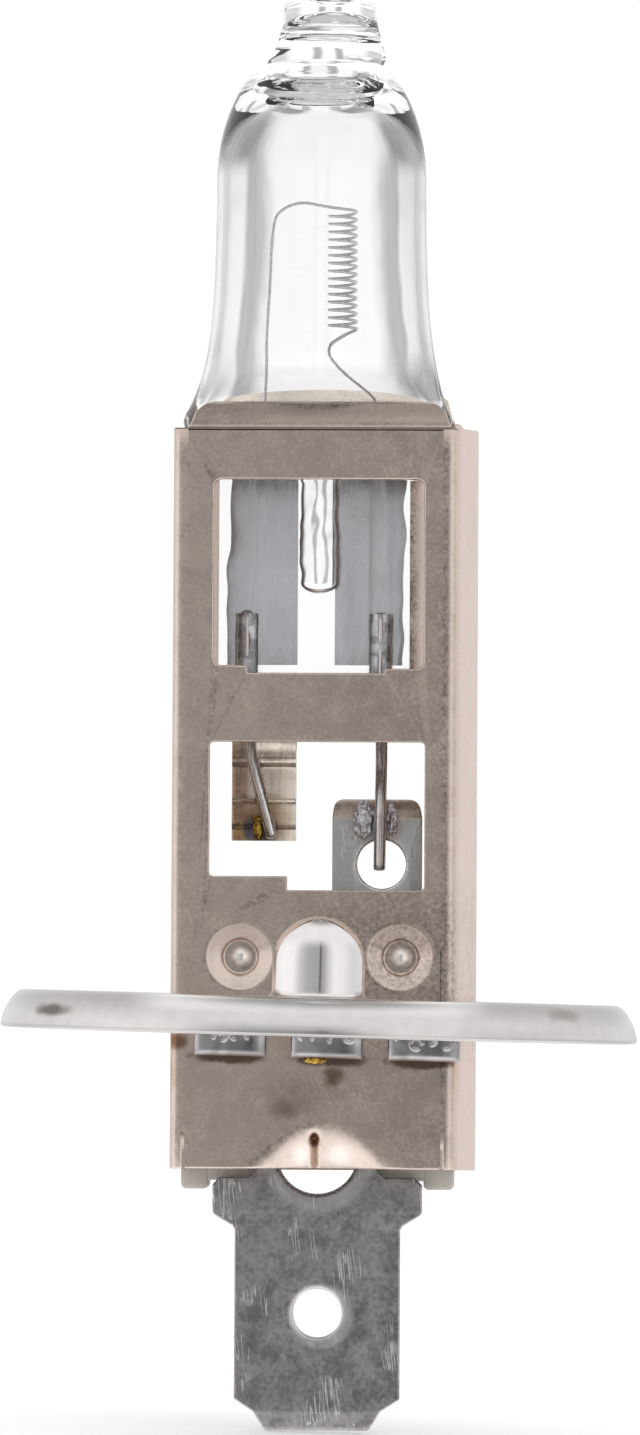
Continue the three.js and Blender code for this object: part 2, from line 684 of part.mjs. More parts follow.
function prefocusFlange() {
  const gap = FLANGE_HOLE_GAP;
  const holePlan = roundedOutline([
    [SLEEVE_REAR_X - SLEEVE_REAR_HALF - gap, SLEEVE_REAR_Y + LUG_GAP, 0.4],
    [-SLEEVE_FRONT_HALF - gap, SLEEVE_FRONT_Y - LUG_GAP, 0.4],
    [SLEEVE_FRONT_HALF + gap, SLEEVE_FRONT_Y - LUG_GAP, 0.4],
    [SLEEVE_REAR_X + SLEEVE_REAR_HALF + gap, SLEEVE_REAR_Y + LUG_GAP, 0.4],
  ]);
  const below = -FLANGE_SHEET - 1;
  const above = BOSS_HEIGHT + 1;
  const lugShape = (x) => roundedOutline([
    [x - LUG_WIDTH / 2, -0.2],
    [x - LUG_WIDTH / 2, LUG_BOTTOM, 0.3],
    [x + LUG_WIDTH / 2, LUG_BOTTOM, 0.3],
    [x + LUG_WIDTH / 2, -0.2],
  ]);
  const front = SLEEVE_FRONT_Y - LUG_GAP;
  const rear = SLEEVE_REAR_Y + LUG_GAP;
  const bossFront = SLEEVE_FRONT_Y - 3;
  const frontOnly = block(-3, 3, bossFront, front, below - 1, above);
  const underSheet = block(-3, 3, bossFront - 1, 0, below - 1, -FLANGE_SHEET);
  let body = flangeDisc();
  body = body.add(bossBody(BOSS_RADIUS, BOSS_HEIGHT).subtract(underSheet));
  body = body.subtract(bossBody(BOSS_RADIUS - BOSS_SKIN, BOSS_HEIGHT - BOSS_SKIN).intersect(frontOnly));
  body = body.subtract(column(holePlan, below, above));
  for (const x of LUG_X) {
    body = body.add(slab(lugShape(x), front - LUG_THICKNESS, front));
    body = body.add(slab(lugShape(x), rear, rear + LUG_THICKNESS));
  }
  return body;
}

// ---- assembly ----

const NICKEL = { color: 0x9a8c80, roughness: 0.4, metalness: 1 };
const FLANGE_STEEL = { color: 0xcdcac7, roughness: 0.35, metalness: 1 };
const TERMINAL_STEEL = { color: 0x77747a, roughness: 0.45, metalness: 1 };
const LEAD_WIRE = { color: 0xa59b98, roughness: 0.35, metalness: 1 };
const FOIL_METAL = { color: 0x9b9a9e, roughness: 0.5, metalness: 1 };
const TUNGSTEN = { color: 0x8c8884, roughness: 0.4, metalness: 1 };
const CERAMIC = { color: 0xb9b5ab, roughness: 0.6, metalness: 0 };
const QUARTZ = { color: 0xf4f4f6, roughness: 0.02, metalness: 0, transparent: true, opacity: 0.35 };

function addPart(group, name, body, look) {
  const mesh = new THREE.Mesh(geometryOf(body), new THREE.MeshStandardMaterial(look));
  mesh.name = name;
  group.add(mesh);
}

const lamp = new THREE.Group();
lamp.position.x = LAMP_OFFSET_X;
lamp.rotation.y = LEAN;
addPart(lamp, 'glass_envelope', glassEnvelope(), QUARTZ);
addPart(lamp, 'filament', filament(), TUNGSTEN);
addPart(lamp, 'foil_left', foil(FOIL_X[0]), FOIL_METAL);
addPart(lamp, 'foil_right', foil(FOIL_X[1]), FOIL_METAL);
addPart(lamp, 'lead_left', leftLead(), LEAD_WIRE);
addPart(lamp, 'lead_right', rightLead(), LEAD_WIRE);
addPart(lamp, 'sleeve_front', frontSleeve(), NICKEL);
addPart(lamp, 'sleeve_rear', rearSleeve(), NICKEL);
addPart(lamp, 'terminal_blade', terminalBlade(), TERMINAL_STEEL);
addPart(lamp, 'insulator_rear', insulatorRear(), CERAMIC);
addPart(lamp, 'insulator_front', insulatorFront(), CERAMIC);
addPart(lamp, 'weld_tongue', weldNugget(-2.33, 0.14, 6.5, 0.18, 0.13, 0.45), LEAD_WIRE);
addPart(lamp, 'weld_terminal', weldNugget(1.76, -0.6, 6.75, 0.32, 0.17, 0.6), LEAD_WIRE);

const bulb = new THREE.Group();
bulb.add(lamp);
addPart(bulb, 'prefocus_flange', prefocusFlange(), FLANGE_STEEL);

export default bulb;
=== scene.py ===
"""A halogen headlight bulb: fine visual pieces, materials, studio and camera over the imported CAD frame.

Sizes are in millimetres and become metres in Body.finish. The lamp (glass, sleeve, terminal and
all that they hold) leans a little in its flange, so its pieces are drawn upright and then leaned.
"""

import math

import bmesh
import bpy
from mathutils import Matrix, Vector, geometry, noise


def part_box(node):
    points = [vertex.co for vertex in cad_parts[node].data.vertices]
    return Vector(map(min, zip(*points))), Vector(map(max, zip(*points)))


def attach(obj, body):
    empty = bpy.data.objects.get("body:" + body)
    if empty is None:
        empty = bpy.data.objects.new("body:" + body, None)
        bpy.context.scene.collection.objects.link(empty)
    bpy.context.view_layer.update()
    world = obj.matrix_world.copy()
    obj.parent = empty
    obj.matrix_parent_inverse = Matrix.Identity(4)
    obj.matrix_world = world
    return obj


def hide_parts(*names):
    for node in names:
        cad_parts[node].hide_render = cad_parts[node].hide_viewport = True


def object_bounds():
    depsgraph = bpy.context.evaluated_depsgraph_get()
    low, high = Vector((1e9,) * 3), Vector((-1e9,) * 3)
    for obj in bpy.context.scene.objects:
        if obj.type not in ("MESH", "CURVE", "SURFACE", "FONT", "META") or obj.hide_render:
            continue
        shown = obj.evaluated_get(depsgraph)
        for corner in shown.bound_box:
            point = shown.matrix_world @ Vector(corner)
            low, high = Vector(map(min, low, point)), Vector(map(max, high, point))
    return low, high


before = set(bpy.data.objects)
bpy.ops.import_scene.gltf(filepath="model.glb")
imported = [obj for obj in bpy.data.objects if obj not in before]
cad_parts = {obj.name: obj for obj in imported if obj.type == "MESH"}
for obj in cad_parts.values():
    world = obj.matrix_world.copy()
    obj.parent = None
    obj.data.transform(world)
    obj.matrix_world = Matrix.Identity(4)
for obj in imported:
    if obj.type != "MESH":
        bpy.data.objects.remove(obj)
CAD_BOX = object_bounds()

MM = 0.001
LEAN_TURN = math.radians(-1.33)
LEAN = Matrix.Translation((-0.09 * MM, 0, 0)) @ Matrix.Rotation(LEAN_TURN, 4, "Y")
UPRIGHT = Matrix.Identity(4)


def box_mm(node):
    low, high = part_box(node)
    return low / MM, high / MM


# ---- sizes; they follow the CAD part's, some a hair smaller, so that all stays inside its box ----

SHEET = 0.4
EDGE = 0.05  # how far a cut edge is rounded
FRONT_Y = box_mm("sleeve_front")[0].y
REAR_Y = box_mm("sleeve_front")[1].y
FRONT_HALF = 5.35
REAR_HALF = 5.91
REAR_X = 0.1
SLEEVE_BOTTOM = -6.42
SLEEVE_TOP = 21.4
REAR_BOTTOM = -6.67
SIDE_REAR_TOP = 22.0
REAR_TOP = 22.35
BEND = 0.55  # outer radius of a bend
SQUARE_BEND = 0.56  # the front bends' power, see bend_pairs
FLAT_HALF = FRONT_HALF - BEND
FOOT_TOP = -3.9  # where the front sheet starts to swell towards the crimp
LIP_OVERLAP = 0.1
LIP_LEFT = (-4.8, -4.42)  # at a lip's foot and at its top
LIP_RIGHT = (5.1, 4.74)
LIP_REACH = 0.93
LIP_RISE = 0.92
REAR_LIP_REACH = 0.02
REAR_LIP_RISE = 1.3
REAR_LIP_CROWN = 0.42  # how much lower its corners are
TONGUE = (-3.33, -0.86)  # its left and right edge
REAR_FLANGE = 2.3  # depth of the rear sheet's flanges
NEST_GAP = 0.06
UPPER_WINDOW = (-3.81, 4.08, 12.18, 19.46, 0.3)  # left, right, bottom, top and corner radius
LOWER_WINDOW = (-3.93, 4.14, 4.02, 9.58, 0.18)
REAR_WINDOWS = ((-4.5, 4.5, 12.35, 20.1, 0.18), (-4.5, 4.5, 3.8, 9.95, 0.18))
DIMPLES = ((-2.75, 1.51), (3.26, 1.51))
DIMPLE_RADIUS = 1.25
COLLAR = 0.3  # flat ring round a dimple
CRIMP_X = 0.07

TERMINAL_HALF = 0.4
BLADE_X = 0.06
BLADE_HALF = 3.15
BLADE_TIP = -16.47
BLADE_BEVEL = -15.75
BLADE_HOLE = (0.07, -12.01, 0.93)
LOCK_HOLE = (0.03, -5.95, 1.53)
PAD_HOLE = (2.43, 5.08, 0.93)
PAD_BEND = 6.85

FLANGE_RADIUS = box_mm("prefocus_flange")[1].x
FLANGE_FLAT = 11.3
FLANGE_SHEET = 0.5
LUGS = (-3.14, 0.48, 4.12)
LUG_WIDTH = 2.75
LUG_BOTTOM = -2.29
LUG_THICKNESS = 0.45
LUG_GAP = 0.05
BOSS_X = 0.1
BOSS_RADIUS = 1.74
BOSS_HEIGHT = box_mm("prefocus_flange")[1].z

GLASS_TIP = 38.02
STUB_X = 0.29
GLASS_RADIUS = 4.0
WALL = 0.45
DOME_START = 31.3
DOME_HEIGHT = 5.5
PINCH_X = -0.14
PINCH_BOTTOM = 11.92
PINCH_HALF_DEPTH = 1.3
FLARE = 1.15  # how much wider the glass is at its foot
FLARE_Z = 22.1
CAVITY_POWER = 2.3  # above 2, the hollow's dome is blunter than an ellipse
CHANNEL_X = -0.02  # the hollow's narrow slot between the foils
CHANNEL_HALF = 0.74

WIRE = 0.055
COIL_X = 0.82
COIL_RADIUS = 0.52
COIL_TOP = 30.1
COIL_TURNS = 15.3
COIL_PITCH = 0.303
LEAD = 0.23
LEAD_X = (-2.7, 2.31)
LEAD_TOP = 14.6
FOIL_X = (-2.17, 1.94)
FOIL_HALF = 1.35


# ---- mesh building ----


class Body:
    """Points and faces in millimetres, which become one mesh piece."""

    def __init__(self):
        self.points = []
        self.faces = []

    def loop(self, points):
        start = len(self.points)
        self.points += [Vector(p) for p in points]
        return list(range(start, len(self.points)))

    def bridge(self, a, b, closed=True):
        count = len(a)
        for i in range(count if closed else count - 1):
            j = (i + 1) % count
            self.faces.append((a[i], a[j], b[j], b[i]))

    def rows(self, rows, closed=True):
        made = [self.loop(row) for row in rows]
        for a, b in zip(made, made[1:]):
            self.bridge(a, b, closed)
        return made

    def fill(self, loops, flat):
        """Fills the area between loops that lie in one plane: flat gives a point's two coordinates."""
        order = [i for loop in loops for i in loop]
        outlines = [[Vector((*flat(self.points[i]), 0)) for i in loop] for loop in loops]
        for triangle in geometry.tessellate_polygon(outlines):
            self.faces.append(tuple(order[i] for i in triangle))

    def add(self, other):
        start = len(self.points)
        self.points += other.points
        self.faces += [tuple(i + start for i in face) for face in other.faces]
        return self

    def edit(self, change):
        """Lets change work on this body as one bmesh."""
        mesh = bmesh.new()
        made = [mesh.verts.new(p) for p in self.points]
        for face in self.faces:
            corners = dict.fromkeys(face)
            if len(corners) > 2:
                mesh.faces.new([made[i] for i in corners])
        change(mesh)
        mesh.verts.index_update()
        self.points = [v.co.copy() for v in mesh.verts]
        self.faces = [tuple(v.index for v in f.verts) for f in mesh.faces]
        mesh.free()
        return self

    def outward(self, inside_out=False):
        """Turns every face of this closed body outward, or inward for a hollow in glass."""

        def turn(mesh):
            bmesh.ops.remove_doubles(mesh, verts=mesh.verts, dist=1e-4)
            bmesh.ops.dissolve_degenerate(mesh, dist=1e-5, edges=mesh.edges)
            bmesh.ops.recalc_face_normals(mesh, faces=mesh.faces)
            if inside_out:
                bmesh.ops.reverse_faces(mesh, faces=mesh.faces)

        return self.edit(turn)

    def split(self, height):
        """Cuts the faces along a level plane, so that the body can bend there."""

        def cut(mesh):
            parts = [*mesh.verts, *mesh.edges, *mesh.faces]
            bmesh.ops.bisect_plane(mesh, geom=parts, plane_co=(0, 0, height), plane_no=(0, 0, 1), dist=1e-5)

        return self.edit(cut)

    def bend(self, move):
        self.points = [Vector(move(p)) for p in self.points]

    def finish(self, name, node, slot, material, place=LEAN, sharp=38):
        mesh = bpy.data.meshes.new(name)
        mesh.from_pydata([p * MM for p in self.points], [], self.faces)
        mesh.transform(place)
        mesh.shade_smooth()
        mesh.set_sharp_from_angle(angle=math.radians(sharp))
        mesh.materials.append(material)
        mesh.update()
        piece = bpy.data.objects.new(name, mesh)
        bpy.context.scene.collection.objects.link(piece)
        even = piece.modifiers.new("even_shading", "WEIGHTED_NORMAL")
        even.keep_sharp = True
        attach(piece, "root")
        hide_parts(node)
        return piece


def rounded(points):
    """A closed outline with each corner (u, v, radius) rounded by its own radius."""
    loop = []
    count = len(points)
    steps = 6
    for i, corner in enumerate(points):
        here = Vector(corner[:2])
        radius = corner[2] if len(corner) > 2 else 0
        if not radius:
            loop.append(here)
            continue
        before = (Vector(points[i - 1][:2]) - here).normalized()
        after = (Vector(points[(i + 1) % count][:2]) - here).normalized()
        half = math.acos(max(-1, min(1, before.dot(after)))) / 2
        reach = radius / math.tan(half)
        start = here + before * reach
        end = here + after * reach
        for k in range(steps + 1):
            t = k / steps
            loop.append(start * (1 - t) ** 2 + here * 2 * t * (1 - t) + end * t * t)
    return loop


def rectangle(left, right, bottom, top):
    return [Vector(p) for p in ((left, bottom), (right, bottom), (right, top), (left, top))]


def circle(x, z, radius, count=56):
    """A clockwise circle, as a hole needs."""
    turns = [-2 * math.pi * i / count for i in range(count)]
    return [Vector((x + radius * math.cos(t), z + radius * math.sin(t))) for t in turns]


def offset(loop, distance):
    """The closed loop moved to its own left, where the material is."""
    moved = []
    count = len(loop)
    for i in range(count):
        a = (loop[i] - loop[i - 1]).normalized()
        b = (loop[(i + 1) % count] - loop[i]).normalized()
        left_a = Vector((-a.y, a.x))
        left_b = Vector((-b.y, b.x))
        miter = (left_a + left_b) / (1 + left_a.dot(left_b))
        moved.append(loop[i] + miter * distance)
    return moved


def quarter_turns(steps):
    """The sine and cosine of evenly spaced angles from 0 to a right angle."""
    turns = [math.pi / 2 * k / steps for k in range(steps + 1)]
    return [(math.sin(turn), math.cos(turn)) for turn in turns]


def edge_rows(thickness, front, back):
    """How a sheet's edge goes from its front face to its back: pairs of inset and depth."""
    turns = quarter_turns(4)
    rows = [(front[0] * (1 - sin), front[1] * (1 - cos)) for sin, cos in turns]
    rows += [(back[0] * (1 - cos), thickness - back[1] * (1 - sin)) for sin, cos in turns]
    return rows


def plate(outer, holes, thickness, place, rolls, outer_roll):
    """A flat sheet with rounded edges. place turns (u, v, depth) into a point. A roll is an edge's
    (inset, depth), and None leaves that edge open, because the same sheet goes on from there."""
    body = Body()
    fronts = []
    backs = []
    for outline, roll in zip([outer, *holes], [outer_roll, *rolls]):
        if roll is None:
            made = [body.loop([place(p.x, p.y, d) for p in outline]) for d in (0, thickness)]
        else:
            back_roll = [min(size, EDGE) for size in roll]
            insets = edge_rows(thickness, roll, back_roll)
            made = body.rows([[place(p.x, p.y, d) for p in offset(outline, inset)] for inset, d in insets])
        fronts.append(made[0])
        backs.append(made[-1])
    body.fill(fronts, plane_of(place))
    body.fill(backs, plane_of(place))
    return body


def plane_of(place):
    """Which two coordinates of a placed point are the sheet's own u and v."""
    zero = Vector(place(0, 0, 0))
    along_u = Vector(place(1, 0, 0)) - zero
    along_v = Vector(place(0, 1, 0)) - zero
    return lambda p: ((p - zero).dot(along_u), (p - zero).dot(along_v))


def facing_front(front_y):
    return lambda u, v, depth: (u, front_y + depth, v)


def facing_rear(rear_y):
    return lambda u, v, depth: (u, rear_y - depth, v)


def facing_up(top_z):
    return lambda u, v, depth: (u, v, top_z - depth)


def smooth_line(points, steps):
    """A centripetal Catmull-Rom line through the points, evenly sampled, as the CAD wires follow."""
    points = [Vector(p) for p in points]
    padded = [points[0] * 2 - points[1], *points, points[-1] * 2 - points[-2]]
    line = []
    for p0, p1, p2, p3 in zip(padded, padded[1:], padded[2:], padded[3:]):
        knots = [0]
        for a, b in ((p0, p1), (p1, p2), (p2, p3)):
            knots.append(knots[-1] + max((b - a).length, 1e-6) ** 0.5)
        t0, t1, t2, t3 = knots
        for k in range(steps):
            t = t1 + (t2 - t1) * k / steps
            a1 = p0 * ((t1 - t) / (t1 - t0)) + p1 * ((t - t0) / (t1 - t0))
            a2 = p1 * ((t2 - t) / (t2 - t1)) + p2 * ((t - t1) / (t2 - t1))
            a3 = p2 * ((t3 - t) / (t3 - t2)) + p3 * ((t - t2) / (t3 - t2))
            b1 = a1 * ((t2 - t) / (t2 - t0)) + a2 * ((t - t0) / (t2 - t0))
            b2 = a2 * ((t3 - t) / (t3 - t1)) + a3 * ((t - t1) / (t3 - t1))
            line.append(b1 * ((t2 - t) / (t2 - t1)) + b2 * ((t - t1) / (t2 - t1)))
    line.append(points[-1])
    return line


def directions(line):
    """The way that a line of points runs at each of them."""
    return [(b - a).normalized() for a, b in zip([line[0], *line[:-1]], [*line[1:], line[-1]])]


def tube(line, radius, sides, rounding=0.6):
    """A round wire along a line. Its ends bulge by the share rounding of the radius."""
    alongs = directions(line)
    turns = [2 * math.pi * k / sides for k in range(sides)]
    side = alongs[0].orthogonal().normalized()
    spokes = []
    for along in alongs:
        side = (side - along * side.dot(along)).normalized()
        other = along.cross(side)
        spokes.append([(side * math.cos(t) + other * math.sin(t)) * radius for t in turns])

    def cap(end, sign):
        rows = []
        for sin, cos in quarter_turns(4):
            middle = line[end] + alongs[end] * sign * radius * rounding * sin
            rows.append([middle + spoke * max(cos, 1e-5) for spoke in spokes[end]])
        return rows

    between_caps = [[point + spoke for spoke in ring] for point, ring in zip(line[1:-1], spokes[1:-1])]
    body = Body()
    body.rows([*reversed(cap(0, -1)), *between_caps, *cap(-1, 1)])
    return body.outward()


def strip(path, widths, thickness, roll=EDGE, steps=2):
    """A bent strip of sheet, closed at both ends. Its middle line is the path in (y, z), widths gives
    its (left, right) in X at each point of the path, and its long edges are rounded."""
    middle = [Vector(p) for p in path]
    corner = []
    for sin, cos in quarter_turns(steps):
        corner.append((roll * (1 - sin), 1 - roll * 2 / thickness * (1 - cos)))
    rows = []
    for point, ahead, (left, right) in zip(middle, directions(middle), widths):
        across = Vector((-ahead.y, ahead.x)) * thickness / 2
        ring = []
        for end, sign in ((left, 1), (right, -1)):
            ring += [(end + inset * sign, depth * sign) for inset, depth in corner]
            ring += [(end + inset * sign, -depth * sign) for inset, depth in reversed(corner)]
        rows.append([(x, *(point + across * depth)) for x, depth in ring])
    body = Body()
    made = body.rows(rows)
    body.faces += [tuple(made[0]), tuple(reversed(made[-1]))]
    return body


def lerp(a, b, part):
    return a + (b - a) * part


def smoothstep(value, low, high):
    part = max(0, min(1, (value - low) / (high - low)))
    return part * part * (3 - 2 * part)


def wobble(point, scale, seed=0):
    """Smooth noise from -1 to 1 at a point."""
    return noise.noise(Vector(point) * scale + Vector((seed * 7.3, seed * 3.1, seed * 5.7)))


# ---- materials ----


class Look:
    """A node material. Textures use the object's own coordinates, in millimetres."""

    def __init__(self, name, **values):
        self.material = bpy.data.materials.new(name)
        self.material.use_nodes = True
        self.tree = self.material.node_tree
        self.shader = self.tree.nodes["Principled BSDF"]
        for socket, value in values.items():
            self.shader.inputs[socket.replace("_", " ")].default_value = value
        place = self.tree.nodes.new("ShaderNodeTexCoord")
        scale = self.node("ShaderNodeVectorMath", operation="SCALE")
        scale.inputs["Scale"].default_value = 1 / MM
        self.link(place.outputs["Object"], scale.inputs[0])
        self.mm = scale.outputs[0]

    def link(self, a, b):
        self.tree.links.new(a, b)

    def node(self, kind, **settings):
        made = self.tree.nodes.new(kind)
        for key, value in settings.items():
            setattr(made, key, value)
        return made

    def put(self, value, socket):
        if isinstance(value, bpy.types.NodeSocket):
            self.link(value, socket)
        else:
            socket.default_value = value

    def stretched(self, scale, turn=(0, 0, 0)):
        made = self.node("ShaderNodeMapping")
        self.link(self.mm, made.inputs["Vector"])
        made.inputs["Scale"].default_value = scale
        made.inputs["Rotation"].default_value = turn
        return made.outputs[0]

    def noise(self, scale, detail=3, rough=0.6, distort=0, where=None):
        made = self.node("ShaderNodeTexNoise")
        self.link(where or self.mm, made.inputs["Vector"])
        made.inputs["Scale"].default_value = scale
        made.inputs["Detail"].default_value = detail
        made.inputs["Roughness"].default_value = rough
        made.inputs["Distortion"].default_value = distort
        return made.outputs["Fac"]

    def cells(self, scale):
        made = self.node("ShaderNodeTexVoronoi", feature="F1")
        self.link(self.mm, made.inputs["Vector"])
        made.inputs["Scale"].default_value = scale
        return made.outputs["Distance"]

    def ramp(self, value, low, high, out_low=0, out_high=1):
        """A smooth step from out_low to out_high, while the value goes from low to high."""
        made = self.node("ShaderNodeMapRange", interpolation_type="SMOOTHSTEP")
        self.put(value, made.inputs["Value"])
        made.inputs["From Min"].default_value = low
        made.inputs["From Max"].default_value = high
        made.inputs["To Min"].default_value = out_low
        made.inputs["To Max"].default_value = out_high
        return made.outputs["Result"]

    def math(self, operation, a, b=0.0):
        made = self.node("ShaderNodeMath", operation=operation)
        self.put(a, made.inputs[0])
        self.put(b, made.inputs[1])
        return made.outputs[0]

    def times(self, a, b):
        return self.math("MULTIPLY", a, b)

    def plus(self, a, b):
        return self.math("ADD", a, b)

    def mix(self, part, a, b):
        made = self.node("ShaderNodeMix", data_type="RGBA")
        self.put(part, made.inputs[0])
        self.put(a if isinstance(a, bpy.types.NodeSocket) else (*a, 1), made.inputs[6])
        self.put(b if isinstance(b, bpy.types.NodeSocket) else (*b, 1), made.inputs[7])
        return made.outputs[2]

    def tint(self, colour, other, part, strength):
        """The colour, moved towards another one where part is high."""
        return self.mix(self.times(part, strength), colour, other)

    def axis(self, name):
        made = self.node("ShaderNodeSeparateXYZ")
        self.link(self.mm, made.inputs[0])
        return made.outputs[name]

    def spot(self, centre, radii, inner=0.4, ragged=0.35, ragged_scale=1.3):
        """1 inside an ellipsoid about a point, 0 outside it, with a ragged edge between."""
        shift = self.node("ShaderNodeVectorMath", operation="SUBTRACT")
        self.link(self.mm, shift.inputs[0])
        shift.inputs[1].default_value = centre
        shrink = self.node("ShaderNodeVectorMath", operation="DIVIDE")
        self.link(shift.outputs[0], shrink.inputs[0])
        shrink.inputs[1].default_value = radii
        length = self.node("ShaderNodeVectorMath", operation="LENGTH")
        self.link(shrink.outputs[0], length.inputs[0])
        rag = self.math("MULTIPLY_ADD", self.noise(ragged_scale, 4, 0.65), ragged * 2)
        rag.node.inputs[2].default_value = -ragged
        return self.ramp(self.plus(length.outputs["Value"], rag), inner, 1, 1, 0)

    def scratches(self, scale, turn, width=0.02, keep=0.6):
        """Thin straight lines in one direction, in scattered patches."""
        long = self.stretched((1, 1, 1), turn)
        squeezed = self.node("ShaderNodeMapping")
        self.link(long, squeezed.inputs["Vector"])
        squeezed.inputs["Scale"].default_value = (1, 1, 0.06)
        lines = self.noise(scale, 1, 0.5, 0, squeezed.outputs[0])
        near = self.math("ABSOLUTE", self.math("SUBTRACT", lines, 0.5))
        thin = self.ramp(near, 0, width, 1, 0)
        patch = self.ramp(self.noise(0.45, 2), keep, keep + 0.08)
        return self.times(thin, patch)

    def bump(self, height, distance, strength=1.0, under=None):
        made = self.node("ShaderNodeBump")
        made.inputs["Distance"].default_value = distance * MM
        made.inputs["Strength"].default_value = strength
        self.link(height, made.inputs["Height"])
        if under is not None:
            self.link(under, made.inputs["Normal"])
        return made.outputs["Normal"]

    def use(self, colour, rough, relief):
        if colour is not None:
            self.link(colour, self.shader.inputs["Base Color"])
        self.link(rough, self.shader.inputs["Roughness"])
        self.link(relief, self.shader.inputs["Normal"])
        return self.material


METAL = {"Metallic": 1.0, "IOR": 1.5}


def lamp_point(x, y, z):
    """Where a point of the upright lamp is after the lean, in millimetres."""
    return LEAN @ (Vector((x, y, z)) * MM) / MM


def grained_metal(name, light, dark, roughness, grain=6.5, blotch=1.0, grain_share=0.5):
    """Plated sheet: fine grain, cloudy mottling and soft streaks, in colour, gloss and relief."""
    look = Look(name, **METAL)
    fine = look.noise(grain, 2, 0.65)
    cloud = look.noise(blotch, 4, 0.6, 0.5)
    broad = look.noise(0.17, 2, 0.5)
    tone = look.plus(look.times(fine, grain_share), look.times(cloud, 0.8 - grain_share))
    tone = look.plus(tone, look.times(broad, 0.2))
    colour = look.mix(look.ramp(tone, 0.34, 0.6), dark, light)
    uneven = look.plus(fine, look.times(cloud, 0.6))
    rough = look.ramp(uneven, 0.55, 1.05, roughness - 0.07, roughness + 0.09)
    return look, colour, rough, fine, cloud


